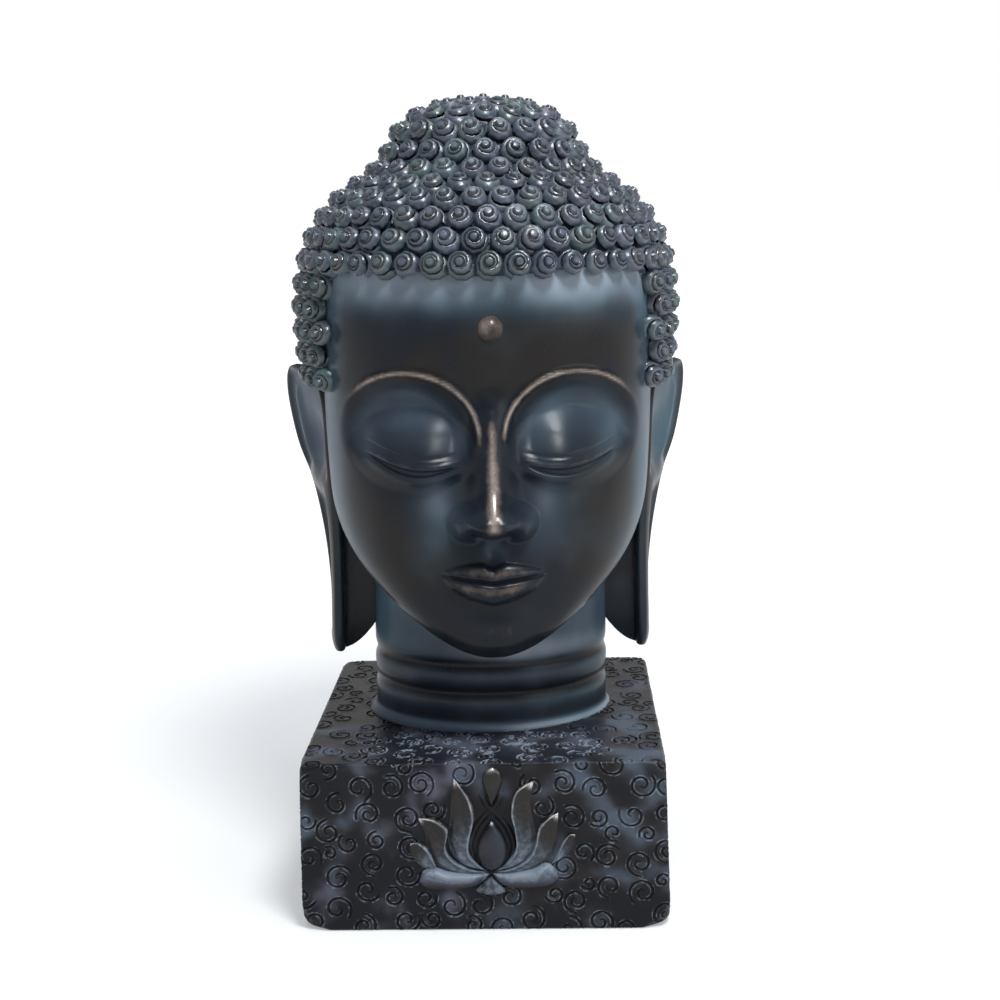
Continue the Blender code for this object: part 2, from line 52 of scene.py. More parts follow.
# The statue's main sizes in metres, and the seat of the head on its plinth
plinth = {
    "width": 0.185,
    "height": 0.089,
    "draft": 0.0019,
    "edge": 0.0016,
    "footCorner": 0.0078,
    "footReach": (0.006, 0.015),
    "topCorner": 0.0036,
    "topReach": (0.004, 0.011),
    "rubbed": (0.0016, 0.0002),
    "topBands": [(-0.0925, -0.0350, 84), (-0.0350, 0.0925, 116)],
    "topCell": 0.0005,
    "topSeed": 8,
    "topFront": (0.004, -0.068, 0.060, 0.026),
    "topRight": (0.066, -0.045, 0.030, 0.045),
    "undersideCells": 60,
}
headHeight = high[2] - low[2] - plinth["height"]
finger = headHeight / 24  # the sculptor's measure: 24 from the plinth to the crown
headSeat = {"offset": 0.002, "turn": 3.5, "lean": 0.6}


def aimCamera():
    eye = bpy.data.objects.new("camera", bpy.data.cameras.new("camera"))
    bpy.context.scene.collection.objects.link(eye)
    eye.data.sensor_width = 36
    eye.data.lens = camera["lens"]
    heading = Matrix.Rotation(math.radians(camera["heading"]), 4, "Z")
    pitch = Matrix.Rotation(math.radians(90 - camera["pitch"]), 4, "X")
    roll = Matrix.Rotation(math.radians(camera["roll"]), 4, "Z")
    eye.matrix_world = Matrix.Translation(camera["place"]) @ heading @ pitch @ roll
    bpy.context.scene.camera = eye


aimCamera()


# Small helpers for shapes given as numpy arrays
def smoothStep(start, end, value):
    t = np.clip((value - start) / (end - start), 0.0, 1.0)
    return t * t * (3.0 - 2.0 * t)


def hump(x, z, centreX, centreZ, reachX, reachZ):
    return np.exp(-(((x - centreX) / reachX) ** 2) - ((z - centreZ) / reachZ) ** 2)


def band(value, middle, reach):  # 1 along a line, falling off to both sides
    return np.exp(-(((value - middle) / reach) ** 2))


def swell(x, z, centreX, centreZ, reachX, reachZ, softness):
    square = ((x - centreX) / reachX) ** 2 + ((z - centreZ) / reachZ) ** 2
    return np.clip(1.0 - square, 0.0, 1.0) ** softness


def curveThrough(points, count):  # even steps along a smooth curve
    points = np.array(points, float)
    padded = np.vstack([2 * points[0] - points[1], points, 2 * points[-1] - points[-2]])
    fine = []
    for i in range(len(points) - 1):
        a, b, c, d = padded[i : i + 4]
        bend, twist = 2 * a - 5 * b + 4 * c - d, 3 * b - a - 3 * c + d
        for t in np.linspace(0, 1, 24, endpoint=False):
            fine.append(b + 0.5 * ((c - a) * t + bend * t**2 + twist * t**3))
    fine = np.array(fine + [points[-1]])
    lengths = np.concatenate([[0], np.cumsum(np.linalg.norm(np.diff(fine, axis=0), axis=1))])
    wanted = np.linspace(0, lengths[-1], count)
    return np.stack([np.interp(wanted, lengths, fine[:, i]) for i in range(fine.shape[1])], 1)


def banded(bands, share):  # where a share from 0 to 1 falls along bands of (from, to, steps)
    stops = [bands[0][0]] + [end for _, end, _ in bands]
    steps = np.cumsum([0] + [count for _, _, count in bands])
    return np.interp(share * steps[-1], steps, stops)


def stepsIn(bands):
    return sum(count for _, _, count in bands)


# Mesh helpers
def sheetOf(columns, rows, place):
    # a grid whose points are put in place by place(across -1..1, up 0..1), with marks to keep for the paint
    bm = bmesh.new()
    bmesh.ops.create_grid(bm, x_segments=columns, y_segments=rows, size=1)
    spots = np.array([v.co[:2] for v in bm.verts])
    points, marks = place(spots[:, 0], (spots[:, 1] + 1) / 2)
    for vert, point in zip(bm.verts, points):
        vert.co = point
    for name, values in marks.items():
        layer = bm.verts.layers.float.new(name)
        for vert, value in zip(bm.verts, values):
            vert[layer] = value
    return bm


def closeTube(bm, gap=0.00001):  # welds the seam and fills the ends
    bmesh.ops.remove_doubles(bm, verts=bm.verts, dist=gap)
    rims = [e for e in bm.edges if e.is_boundary]
    bmesh.ops.holes_fill(bm, edges=rims, sides=0)
    bmesh.ops.recalc_face_normals(bm, faces=bm.faces)


def settlePiece(name, bm, material, sharp=False):
    for face in bm.faces:
        face.smooth = not sharp
    mesh = bpy.data.meshes.new(name)
    bm.to_mesh(mesh)
    bm.free()
    piece = bpy.data.objects.new(name, mesh)
    bpy.context.scene.collection.objects.link(piece)
    mesh.materials.append(material)
    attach(piece, "root")
    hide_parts("statue")
    print(name, len(mesh.polygons), "faces")
    return piece


def headTilt():
    turn = Matrix.Rotation(math.radians(headSeat["turn"]), 3, "Z")
    return turn @ Matrix.Rotation(math.radians(headSeat["lean"]), 3, "Y")


def seatOnPlinth(points):  # from the head's own frame in fingers to the statue's in metres
    spun = (points * finger) @ np.array(headTilt()).T
    return spun + np.array([headSeat["offset"], 0, plinth["height"]])


# Shader maths: one class wraps a socket, so that masks are written as sums
class Wire:
    def __init__(self, tree, socket=None):
        self.tree = tree
        self.socket = socket

    def node(self, kind, settings=None, sockets=None, output=0):
        made = self.tree.nodes.new("ShaderNode" + kind)
        for name, value in (settings or {}).items():
            setattr(made, name, value)
        for name, value in (sockets or {}).items():
            if isinstance(value, Wire):
                self.tree.links.new(value.socket, made.inputs[name])
            else:
                made.inputs[name].default_value = value
        return Wire(self.tree, made.outputs[output])

    def maths(self, operation, *values):
        return self.node("Math", {"operation": operation}, dict(enumerate(values)))

    def __add__(self, other):
        return self.maths("ADD", self, other)

    __radd__ = __add__

    def __sub__(self, other):
        return self.maths("SUBTRACT", self, other)

    def __rsub__(self, other):
        return self.maths("SUBTRACT", other, self)

    def __mul__(self, other):
        return self.maths("MULTIPLY", self, other)

    __rmul__ = __mul__

    def ramp(self, start, end, low=0.0, high=1.0):
        limits = {"Value": self, "From Min": start, "From Max": end, "To Min": low, "To Max": high}
        return self.node("MapRange", {"interpolation_type": "SMOOTHSTEP"}, limits)

    def blend(self, under, over):  # a colour between two, by this mask
        return self.node("Mix", {"data_type": "RGBA"}, {0: self, 6: under, 7: over}, 2)

    def noise(self, scale, detail, roughness=0.55):
        spot = self.node("TexCoord", output=3)
        values = {"Vector": spot, "Scale": scale, "Detail": detail, "Roughness": roughness}
        return self.node("TexNoise", {}, values)

    def mark(self, name):
        return self.node("Attribute", {"attribute_name": name}, output=2)


# The patina on skin, curls and plinth: near-black ground going warm in places, blue-grey wash left in the
# hollows and in clouds, and bare metal where it is rubbed. The marks also paint light: painted sheen in the
# wash and pale tones, painted shade where the hollow mark is negative, and painted highlights as glints
# glintTone is the colour of painted highlights; rubAndGlint sets both the rubbed metal and the painted glints
patinas = {
    "skin": {
        "ground": (0.0050, 0.0062, 0.0090, 1),
        "warm": (0.0085, 0.0068, 0.0060, 1),
        "wash": (0.060, 0.086, 0.118, 1),
        "cool": (0.044, 0.078, 0.102, 1),
        "pale": (0.165, 0.195, 0.230, 1),
        "rubbed": (0.150, 0.116, 0.098, 1),
        "glintTone": (0.50, 0.46, 0.43, 1),
        "roughness": 0.30,
        "shine": 0.13,
        "metal": 0.50,
        "coat": 0.05,
        "grain": 0.06,
        "broken": 0.0,
        "cloud": 0.12,
        "cloudScale": 34.0,
        "rubAndGlint": 0.75,
        "glintSpread": 0.35,
    },
    "curl": {
        "ground": (0.009, 0.012, 0.018, 1),
        "warm": (0.020, 0.019, 0.020, 1),
        "wash": (0.054, 0.066, 0.104, 1),
        "cool": (0.038, 0.074, 0.080, 1),
        "pale": (0.140, 0.175, 0.210, 1),
        "rubbed": (0.142, 0.150, 0.162, 1),
        "glintTone": (0.50, 0.53, 0.58, 1),
        "roughness": 0.26,
        "shine": 0.40,
        "metal": 0.12,
        "coat": 0.14,
        "grain": 0.12,
        "broken": 0.3,
        "cloud": 0.20,
        "cloudScale": 46.0,
        "rubAndGlint": 0.70,
        "glintSpread": 0.9,
    },
    "plinth": {
        "ground": (0.0050, 0.0054, 0.0075, 1),
        "warm": (0.0100, 0.0080, 0.0078, 1),
        "wash": (0.068, 0.067, 0.092, 1),
        "cool": (0.052, 0.066, 0.088, 1),
        "pale": (0.150, 0.185, 0.230, 1),
        "rubbed": (0.150, 0.132, 0.122, 1),
        "glintTone": (0.50, 0.49, 0.48, 1),
        "roughness": 0.35,
        "shine": 0.12,
        "metal": 0.40,
        "coat": 0.04,
        "grain": 0.32,
        "broken": 1.0,
        "cloud": 0.92,
        "cloudScale": 44.0,
        "rubAndGlint": 0.65,
        "glintSpread": 1.0,
    },
}
patinas["lotus"] = {
    **patinas["plinth"],
    "warm": (0.0130, 0.0105, 0.0092, 1),
    "pale": (0.132, 0.162, 0.198, 1),
    "glintTone": (0.80, 0.81, 0.82, 1),
    "roughness": 0.28,
    "shine": 0.20,
    "grain": 0.24,
    "broken": 0.35,
    "cloud": 0.20,
    "rubAndGlint": 0.90,
}

# Scales of the noises that every patina shares, and where each of its masks starts and ends
noiseScales = {"broad": 11.0, "dabs": 150.0, "flecks": 330.0, "fine": 420.0, "speck": 1500.0}
masks = {
    "warm": (0.44, 0.60),
    "cool": (0.42, 0.60),
    "cloud": (0.46, 0.74),
    "wash": (0.05, 1.05),
    "pale": (0.06, 1.0),
    "chafe": (0.0, 0.15),
    "rub": (0.25, 0.95),
    "glint": (0.70, 1.15),
}
grainDepth = 0.0004
coatRoughness = 0.16


def makePatina(name):
    look = patinas[name]
    made = bpy.data.materials.new(name + " patina")
    made.use_nodes = True
    tree = made.node_tree
    shader = tree.nodes["Principled BSDF"]
    w = Wire(tree)
    broad = w.noise(noiseScales["broad"], 4.0)
    patches = w.noise(look["cloudScale"], 2.5, 0.45)
    fine = w.noise(noiseScales["fine"], 4.0, 0.65)
    speck, dabs, flecks = (w.noise(noiseScales[grain], 2.0) for grain in ("speck", "dabs", "flecks"))
    raised = w.mark("raised")

    # the ground, and the wash that lies in hollows and clouds; outside hollows some wash marks are painted
    # sheen, and a negative hollow mark takes wash away to paint shade into grooves, creases and cuts
    warmth = ((broad * 0.6 + patches * 0.4).ramp(*masks["warm"]) + w.mark("warm")).ramp(0.0, 1.0)
    ground = warmth.blend(look["ground"], look["warm"])
    coolness = (broad.ramp(*masks["cool"]) + w.mark("tint")).ramp(0.0, 1.0)
    washTone = coolness.blend(look["wash"], look["cool"])
    cloud = (patches * 0.8 + broad * 0.2).ramp(*masks["cloud"]) * look["cloud"]
    dust = (fine - 0.5) * (look["grain"] * 0.25)
    wash = w.mark("wash") * (0.26 + 0.82 * broad + 0.56 * patches) + w.mark("hollow") * 0.8 + cloud + dust
    wash = wash.ramp(*masks["wash"])
    tone = wash.blend(ground, washTone)

    # the pale tone, broken into flecks on the plinth: dust in places, and painted sheen and painted
    # highlights where the shapes lay it
    spread = (1 - look["broken"]) + flecks.ramp(0.44, 0.60, 0.10, 2.1) * look["broken"]
    pale = (w.mark("pale") * (0.35 + 1.3 * patches) * spread + dust).ramp(*masks["pale"])
    tone = pale.blend(tone, look["pale"])

    # rubbed metal, which is wear, and painted highlights on it as glints in glintTone
    chafe = ((fine - 0.5) * 0.35 + (dabs - 0.5) * 0.7) * raised.ramp(*masks["chafe"])
    rub = (raised + chafe).ramp(*masks["rub"]) * look["rubAndGlint"]
    tone = rub.blend(tone, look["rubbed"])
    glintNoise = ((fine - 0.5) * 0.4 + (dabs - 0.5) * 0.9) * look["glintSpread"]
    glint = (raised + glintNoise).ramp(*masks["glint"]) * look["rubAndGlint"] * 0.55
    tone = glint.blend(tone, look["glintTone"])

    gloss = look["roughness"] + (patches - 0.5) * 0.16 + (fine - 0.5) * 0.10 + wash * 0.12 - rub * 0.05
    relief = fine * 0.7 + speck * 0.3 + patches
    bump = w.node("Bump", {}, {"Strength": look["grain"], "Distance": grainDepth, "Height": relief})
    linked = {"Base Color": tone, "Roughness": gloss, "Metallic": rub * look["metal"], "Normal": bump}
    for socket, value in linked.items():
        tree.links.new(value.socket, shader.inputs[socket])
    shader.inputs["Specular IOR Level"].default_value = look["shine"]
    shader.inputs["Coat Weight"].default_value = look["coat"]
    shader.inputs["Coat Roughness"].default_value = coatRoughness
    return made


skinPatina, curlPatina, plinthPatina, lotusPatina = (makePatina(name) for name in patinas)


# Face: sections from the chin up, in fingers, as height, half width, front and back reach
face = {
    "sections": [
        (3.45, 0.30, 4.6, 0.6),
        (3.70, 1.90, 5.75, 1.5),
        (4.30, 3.45, 6.20, 2.4),
        (5.20, 4.65, 6.35, 3.2),
        (6.60, 5.55, 6.35, 4.2),
        (8.60, 6.05, 6.30, 5.4),
        (11.0, 6.22, 6.35, 6.5),
        (13.5, 6.28, 6.45, 7.1),
        (16.0, 6.30, 6.38, 7.1),
        (18.0, 6.00, 5.95, 6.9),
        (20.0, 4.60, 4.60, 5.6),
        (21.2, 2.60, 2.60, 3.4),
        (21.6, 0.30, 0.30, 0.5),
    ],
    "roundness": 2.3,
    "rowBands": [(3.45, 4.1, 14), (4.1, 13.2, 250), (13.2, 18.0, 50), (18.0, 21.6, 8)],
    "columnBands": [(-180, -90, 8), (-90, -60, 14), (-60, 60, 226), (60, 90, 14), (90, 180, 8)],
}
brow = {
    "x": 3.00,
    "z": 11.85,
    "halfWidth": 2.48,
    "height": 2.20,
    "ridge": 0.12,
    "ridgeWidth": 0.11,
    "ridgeAt": 1.03,
    "ridgeFade": (-0.6, 0.4),
    "ridgeFull": 1.5,
    "ridgeEnd": 0.1,
    "hollow": 0.62,
    "hollowAt": 0.62,
    "hollowFade": (-1.9, 0.1),
}
eye = {
    "x": 2.82,
    "z": 11.25,
    "width": 2.35,
    "above": 1.65,
    "below": 1.45,
    "ball": 0.84,
    "softness": 1.5,
    "inner": 1.18,
    "outer": 4.50,
}
lid = {"z": 10.90, "rise": 0.30, "sag": 0.30, "gap": 0.24, "step": 0.16}
lidLines = {  # how high each stands, how far over the lid's edge it is, and its half width
    "crease": (-0.05, 0.40, 0.06),
    "rim": (0.05, 0.10, 0.10),
    "lower": (0.07, -0.16, 0.17),
}
nose = {
    "root": 12.9,
    "tip": 9.05,
    "base": 8.30,
    "rootHeight": 0.30,
    "tipHeight": 1.30,
    "rootSide": 0.78,
    "tipSide": 1.25,
    "baseRise": 0.42,
    "baseWidth": 0.95,
}
noseTip = {"z": 9.10, "width": 1.00, "height": 1.05, "reach": 0.24, "softness": 1.6}
wing = {"x": 0.84, "z": 8.86, "width": 0.86, "height": 0.78, "reach": 1.08, "softness": 1.4}
mouth = {
    "z": 6.80,
    "halfWidth": 1.92,
    "upper": 0.64,
    "lower": 0.82,
    "reach": 0.40,
    "bow": 0.06,
    "bowWidth": 0.32,
    "notch": 0.12,
    "notchWidth": 0.22,
    "smile": 0.18,
    "groove": 0.16,
    "grooveWidth": 0.07,
}
softForms = {  # how far each stands out, its middle, and its reach to the sides and up
    "cheek": (0.32, 3.45, 8.55, 2.0, 2.0),
    "muzzle": (0.36, 0, 6.90, 2.3, 1.7),
    "chin": (0.38, 0, 4.70, 1.90, 1.00),
    "chinFold": (-0.03, 0, 5.62, 1.7, 0.42),
    "nostril": (-0.20, 0.50, 8.42, 0.22, 0.13),
    "lipGroove": (-0.08, 0, 7.85, 0.22, 0.42),
    "lipGrooveEdge": (0.03, 0.38, 7.80, 0.18, 0.45),
    "mouthCorner": (-0.10, 2.04, 6.98, 0.36, 0.40),
}
faceSpots = {  # how strong each spot of wear or paint is, its middle, and its reach to the sides and up
    "chinWear": (0.34, 0.1, 4.9, 0.8, 0.38),
    "lipGrooveWear": (0.34, 0.32, 7.75, 0.2, 0.35),
    "underNoseWash": (0.35, 0, 7.9, 0.6, 0.5),
    "jawWash": (0.35, 4.9, 6.6, 0.5, 1.6),
    "besideNosePale": (0.30, 1.9, 9.6, 0.6, 0.8),
    "cheekWarm": (0.9, 3.7, 7.8, 1.5, 2.4),
    "foreheadWarm": (0.8, 0, 14.4, 4.5, 1.2),
}
faceShades = {  # where each starts and is full, by height or by how far round the skin is
    "facing": (0.20, 0.60),
    "aboveJaw": (3.6, 4.3),
    "underHairWash": (14.6, 17.6),
    "underHairPale": (15.2, 17.6),
    "sideWash": (0.76, 0.95),
    "sidePale": (0.88, 0.97),
    "sidePaleFoot": (4.5, 7.5),
    "besideNoseFoot": (6.2, 9.4),
    "besideNoseTop": (11.2, 9.6),
}
jaw = {"slope": 0.34, "start": 9.5, "full": 4.0, "front": 5.6, "length": 7.0}


def browRelief(x, z):  # the eye's hollow under an arched brow with a raised lip
    ring = np.hypot((x - brow["x"]) / brow["halfWidth"], (z - brow["z"]) / brow["height"])
    fadeFrom, fadeTo = brow["hollowFade"]
    above = smoothStep(brow["z"] + fadeFrom, brow["z"] + fadeTo, z)
    hollow = smoothStep(brow["ridgeAt"], brow["hollowAt"], ring) * above
    ridgeEnd = brow["x"] + brow["halfWidth"] + brow["ridgeEnd"]
    fadeFrom, fadeTo = brow["ridgeFade"]
    lip = band((ring - brow["ridgeAt"]) * brow["height"], 0, brow["ridgeWidth"])
    lip = lip * smoothStep(brow["z"] + fadeFrom, brow["z"] + fadeTo, z)
    lip = lip * smoothStep(ridgeEnd, brow["x"] + brow["ridgeFull"], x)
    return brow["ridge"] * lip - brow["hollow"] * hollow, lip, hollow


def lidEdges(x):
    t = np.clip((x - eye["inner"]) / (eye["outer"] - eye["inner"]), 0.0, 1.0)
    arch = np.sin(math.pi * t)
    upper = lid["z"] + lid["rise"] * t**1.5 - lid["sag"] * arch * (1.0 - 0.35 * t)
    return upper, upper - lid["gap"] * arch**0.7


def eyeRelief(x, z):  # a round lid over the ball, nearly closed
    reach = np.where(z > eye["z"], eye["above"], eye["below"])
    ball = swell(x, z, eye["x"], eye["z"], eye["width"], reach, eye["softness"])
    upper, lower = lidEdges(x)
    inner = smoothStep(eye["inner"] - 0.25, eye["inner"] + 0.65, x)
    across = inner * smoothStep(eye["outer"] + 0.25, eye["outer"] - 0.35, x)
    opening = smoothStep(upper + 0.02, upper - 0.05, z) * smoothStep(lower - 0.05, lower + 0.02, z)
    lines = -lid["step"] * opening
    for name, edge in (("rim", upper), ("crease", upper), ("lower", lower)):
        height, above, width = lidLines[name]
        lines = lines + height * band(z - edge, above, width)
    rim = across * band(z - upper, *lidLines["rim"][1:])
    return eye["ball"] * ball + across * lines, across * opening, rim, ball


def noseRelief(x, z):  # a straight ridge from the brows to a rounded tip, with two wings
    t = np.clip((nose["root"] - z) / (nose["root"] - nose["tip"]), 0.0, 1.0)
    height = nose["rootHeight"] + (nose["tipHeight"] - nose["rootHeight"]) * t**1.1
    height = height * smoothStep(nose["root"] + 0.9, nose["root"] - 0.5, z)
    wide = np.abs(x)
    floor = nose["base"] + nose["baseRise"] * np.clip(wide / nose["baseWidth"], 0, 1) ** 2
    under = smoothStep(floor - 0.14, floor + 0.50, z)
    side = nose["rootSide"] + (nose["tipSide"] - nose["rootSide"]) * t
    flank = np.clip(1.0 - (wide / side) ** 2, 0.0, 1.0) ** 1.6
    ridge = height * flank**1.1 * under
    wings = swell(wide, z, wing["x"], wing["z"], wing["width"], wing["height"], wing["softness"])
    ball = swell(x, z, 0.0, noseTip["z"], noseTip["width"], noseTip["height"], noseTip["softness"])
    form = ridge + noseTip["reach"] * ball * under + wing["reach"] * wings * (1.0 - 0.65 * flank)
    edge = band(x, 0, 0.14 + 0.16 * t) * smoothStep(nose["root"] + 0.4, nose["root"] - 1.0, z)
    return form, edge * smoothStep(nose["base"], nose["base"] + 0.6, z)


def mouthRelief(x, z):  # full closed lips with a slight smile
    side = np.abs(x) / mouth["halfWidth"]
    inside = np.clip(1.0 - side**2, 0.0, 1.0)
    line = mouth["z"] + mouth["smile"] * side**2 - mouth["bow"] * band(x, 0, mouth["bowWidth"])
    top = line + mouth["upper"] * inside**0.8 - mouth["notch"] * band(x, 0, mouth["notchWidth"]) * inside
    bottom = line - mouth["lower"] * inside**0.62
    up = np.clip((z - line) / np.maximum(top - line, 1e-3), -1.0, 2.0)
    down = np.clip((line - z) / np.maximum(line - bottom, 1e-3), -1.0, 2.0)
    upperLip = np.sqrt(np.clip(1.0 - (up - 0.10) ** 2 / 0.85, 0, 1)) * (z >= line)
    lowerLip = np.clip(1.0 - (down - 0.28) ** 2 / 0.62, 0, 1) ** 0.75 * (z < line)
    groove = mouth["groove"] * band(z, line, mouth["grooveWidth"]) * smoothStep(1.1, 0.7, side)
    lips = mouth["reach"] * inside**0.6 * (0.85 * upperLip + lowerLip) * smoothStep(1.0, 0.8, side)
    wearAndHighlight = inside**0.8 * (band(up, 0.55, 0.35) + band(down, 0.40, 0.30))
    return lips - groove, wearAndHighlight


def faceSpot(name, x, z):
    strength, *place = faceSpots[name]
    return strength * hump(x, z, *place)


def placeFace(across, up):
    angle = np.radians(banded(face["columnBands"], (across + 1) / 2))
    z = banded(face["rowBands"], up)
    halfWidth, front, back = (np.interp(z, faceCurve[:, 0], faceCurve[:, i]) for i in (1, 2, 3))
    aside, ahead = np.sin(angle), np.cos(angle)
    depth = np.where(ahead > 0, front, back)
    square = np.abs(aside / halfWidth) ** face["roundness"] + np.abs(ahead / depth) ** face["roundness"]
    reach = square ** (-1 / face["roundness"])
    x, y = reach * aside, -reach * ahead
    slope = jaw["slope"] * smoothStep(jaw["start"], jaw["full"], z)
    z = z + slope * np.clip(y + jaw["front"], 0.0, jaw["length"])
    facing = smoothStep(*faceShades["facing"], ahead) * smoothStep(*faceShades["aboveJaw"], z)
    wide, side = np.abs(x), np.abs(aside)
    browForm, browLip, socket = browRelief(wide, z)
    eyeForm, slit, lidRim, lidDome = eyeRelief(wide, z)
    noseForm, noseEdge = noseRelief(x, z)
    mouthForm, lipWear = mouthRelief(x, z)
    relief = browForm + eyeForm + noseForm + mouthForm
    for standing, *place in softForms.values():
        relief = relief + standing * hump(wide, z, *place)
    points = np.stack([x, y - relief * facing, z], 1)

    # wear on the edges, wash in the hollows and round the rim, warm places, and pale tones that are
    # painted light under the hair, beside the nose and down the sides
    raised = 0.95 * browLip + 0.95 * noseEdge + 0.60 * lipWear + 0.35 * lidRim
    raised = raised + faceSpot("chinWear", x, z) + faceSpot("lipGrooveWear", wide, z)
    rimWash = 0.75 * smoothStep(*faceShades["underHairWash"], z) ** 1.7
    rimWash = rimWash + 0.85 * smoothStep(*faceShades["sideWash"], side)
    besideNose = band(wide, 1.9, 1.1) * smoothStep(*faceShades["besideNoseFoot"], z)
    besideNose = besideNose * smoothStep(*faceShades["besideNoseTop"], z)
    softWash = 0.45 * socket * (1 - 0.6 * lidDome) + 0.40 * besideNose
    softWash = softWash + faceSpot("underNoseWash", x, z) + faceSpot("jawWash", wide, z)
    # painted light: a pale band on the forehead under the hair, a painted highlight beside the nose, and a
    # painted sheen down the face's sides
    pale = 0.80 * smoothStep(*faceShades["underHairPale"], z) ** 1.8
    pale = pale + faceSpot("besideNosePale", wide, z) * facing
    sidePale = smoothStep(*faceShades["sidePale"], side) * smoothStep(*faceShades["sidePaleFoot"], z)
    marks = {
        "raised": np.clip(raised, 0, 1) * facing,
        "wash": np.clip(0.10 + rimWash + softWash * facing, 0, 1),
        "hollow": slit * 0.1 * facing,
        "pale": pale + 0.26 * sidePale,
        "warm": faceSpot("cheekWarm", wide, z) + faceSpot("foreheadWarm", x, z) - 0.3,
    }
    return seatOnPlinth(points), marks


faceCurve = curveThrough(face["sections"], 400)


def makeFace():
    bm = sheetOf(stepsIn(face["columnBands"]), stepsIn(face["rowBands"]), placeFace)
    closeTube(bm)
    return settlePiece("face", bm, skinPatina)


# Neck, in fingers
neck = {
    "halfWidth": 4.64,
    "halfDepth": 3.68,
    "setback": 0.009 / finger,
    "top": 7.5,
    "sunk": 0.0025 / finger,
    "fillet": 0.004 / finger,
    "creases": [(1.45, 0.075), (2.55, 0.075)],
    "creaseWidth": 0.21,
    "creaseMark": 0.168,
    "roll": (-0.45, 0.24),
    "rollHeight": 0.02,
    "pooled": (0.16, 0.14),
    "footLine": (0.11, 0.07),
    "collar": (0.30, 3.15, 0.55, 0.5),
    "underJawSheen": (2.5, 3.2),
    "columns": 180,
    "rows": 90,
}


def placeNeck(across, up):
    angle = math.pi * across
    aside, ahead = np.sin(angle), np.cos(angle)
    z = -neck["sunk"] + up * (neck["top"] + neck["sunk"])
    foot = neck["fillet"]
    flare = foot * (1 - np.sqrt(np.clip(1 - (1 - np.clip(z / foot, 0, 1)) ** 2, 0, 1)))
    crease, roll = np.zeros(len(z)), np.zeros(len(z))
    for height, depth in neck["creases"]:
        ridge = band(z - height, *neck["roll"])
        flare = flare - depth * band(z, height, neck["creaseWidth"]) + neck["rollHeight"] * ridge
        crease = crease + band(z, height, neck["creaseMark"])
        roll = roll + ridge
    x = (neck["halfWidth"] + flare) * aside
    y = neck["setback"] - (neck["halfDepth"] + flare) * ahead
    footLine = band(z, *neck["footLine"]) * smoothStep(-0.9, 0.5, aside)
    # painted light on the neck: shade in the creases, sheen on the rolls and under the jaw, a highlight along
    # the foot that fades to the left, and a highlight band on the collar; the wash pooled at the foot is
    # patina
    marks = {
        "raised": roll * 0.12,
        "wash": 0.28 + 0.44 * smoothStep(*neck["underJawSheen"], z) + 0.24 * roll,
        "hollow": band(z, *neck["pooled"]) * 0.9 - crease * 0.35,
        "pale": footLine + 0.75 * hump(aside, z, *neck["collar"]),
    }
    return seatOnPlinth(np.stack([x, y, z], 1)), marks


def makeNeck():
    bm = sheetOf(neck["columns"], neck["rows"], placeNeck)
    closeTube(bm)
    return settlePiece("neck", bm, skinPatina)


makeFace()
makeNeck()


# Hair: the scalp's profile from crown to nape, in fingers, and where hair grows
hair = {
    "profile": [
        (0.0, 23.55), (1.2, 23.50), (2.45, 23.15), (3.25, 22.5), (3.7, 21.7), (4.4, 20.9),
        (5.6, 20.05), (6.6, 18.7), (7.05, 16.8), (7.0, 14.4), (6.55, 11.8), (5.8, 9.4),
        (4.9, 7.6), (4.2, 6.4), (3.6, 5.4),
    ],
    "setback": 0.80,
    "length": 1.08,
    "knotFoot": 19.5,
    "knotMiddle": 22.5,
    "hairlineRow": 17.9,
    "hairline": 17.45,
    "templeHalfWidth": 5.75,
    "templeFront": 3.2,
    "overEar": 13.2,
    "behindEar": 2.3,
    "nape": 5.9,
    "skullMiddle": 13.5,
    "combed": 0.55,
    "combedFrom": (1.5, -2.5),
    "probe": 0.05,
    "bedSize": (0.84, 0.978),
    "bedWash": 0.40,
    "bedCells": (150, 120),
}
curl = {
    "pitch": 0.0142,
    "slope": [
        (0.0, 0.0064),
        (0.0023, 0.0045),
        (0.0047, 0.0028),
        (0.0062, 0.0011),
        (0.0071, -0.0008),
        (0.0090, -0.0030),
    ],
    "steps": 23,
    "stepsPerTurn": 10,
    "opening": 2.5,
    "knob": 0.0026,
    "knobTop": 0.0061,
    "knobRound": 0.36,
    "ring": 0.0028,
    "endingFrom": 1.6,
    "sunk": 0.0022,
    "tucked": 0.14,
    "shoulder": 0.56,
    "swell": 0.0006,
    "low": (0.004, 0.0072),
    "wash": 0.60,
    "weld": 0.00003,
    "leftHanded": 0.25,
    "tip": 7,
    "sizes": (0.95, 1.0),
    "tints": (-0.6, 0.6),
    "warmths": (-0.6, 0.8),
    "seed": 11,
}
scalpCurve = curveThrough(hair["profile"], 300)


def longWay(z):
    return 1 + (hair["length"] - 1) * smoothStep(hair["knotMiddle"], hair["knotFoot"], z)


def scalpSpot(along, turn):  # a point of the scalp, by length from the crown and turn from the front
    radius = np.interp(along, scalpLengths, scalpCurve[:, 0])
    z = np.interp(along, scalpLengths, scalpCurve[:, 1])
    y = hair["setback"] - radius * longWay(z) * np.cos(turn)
    return np.stack([radius * np.sin(turn), y, z + 0 * turn], -1)


scalpLengths = np.concatenate([[0], np.cumsum(np.linalg.norm(np.diff(scalpCurve, axis=0), axis=1))])


def hairGrows(point):
    x, y, z = point
    if z > hair["hairline"]:
        return True
    besideTemple = abs(x) > hair["templeHalfWidth"] and y > -hair["templeFront"] and z > hair["overEar"]
    return besideTemple or (y > hair["behindEar"] and z > hair["nape"])


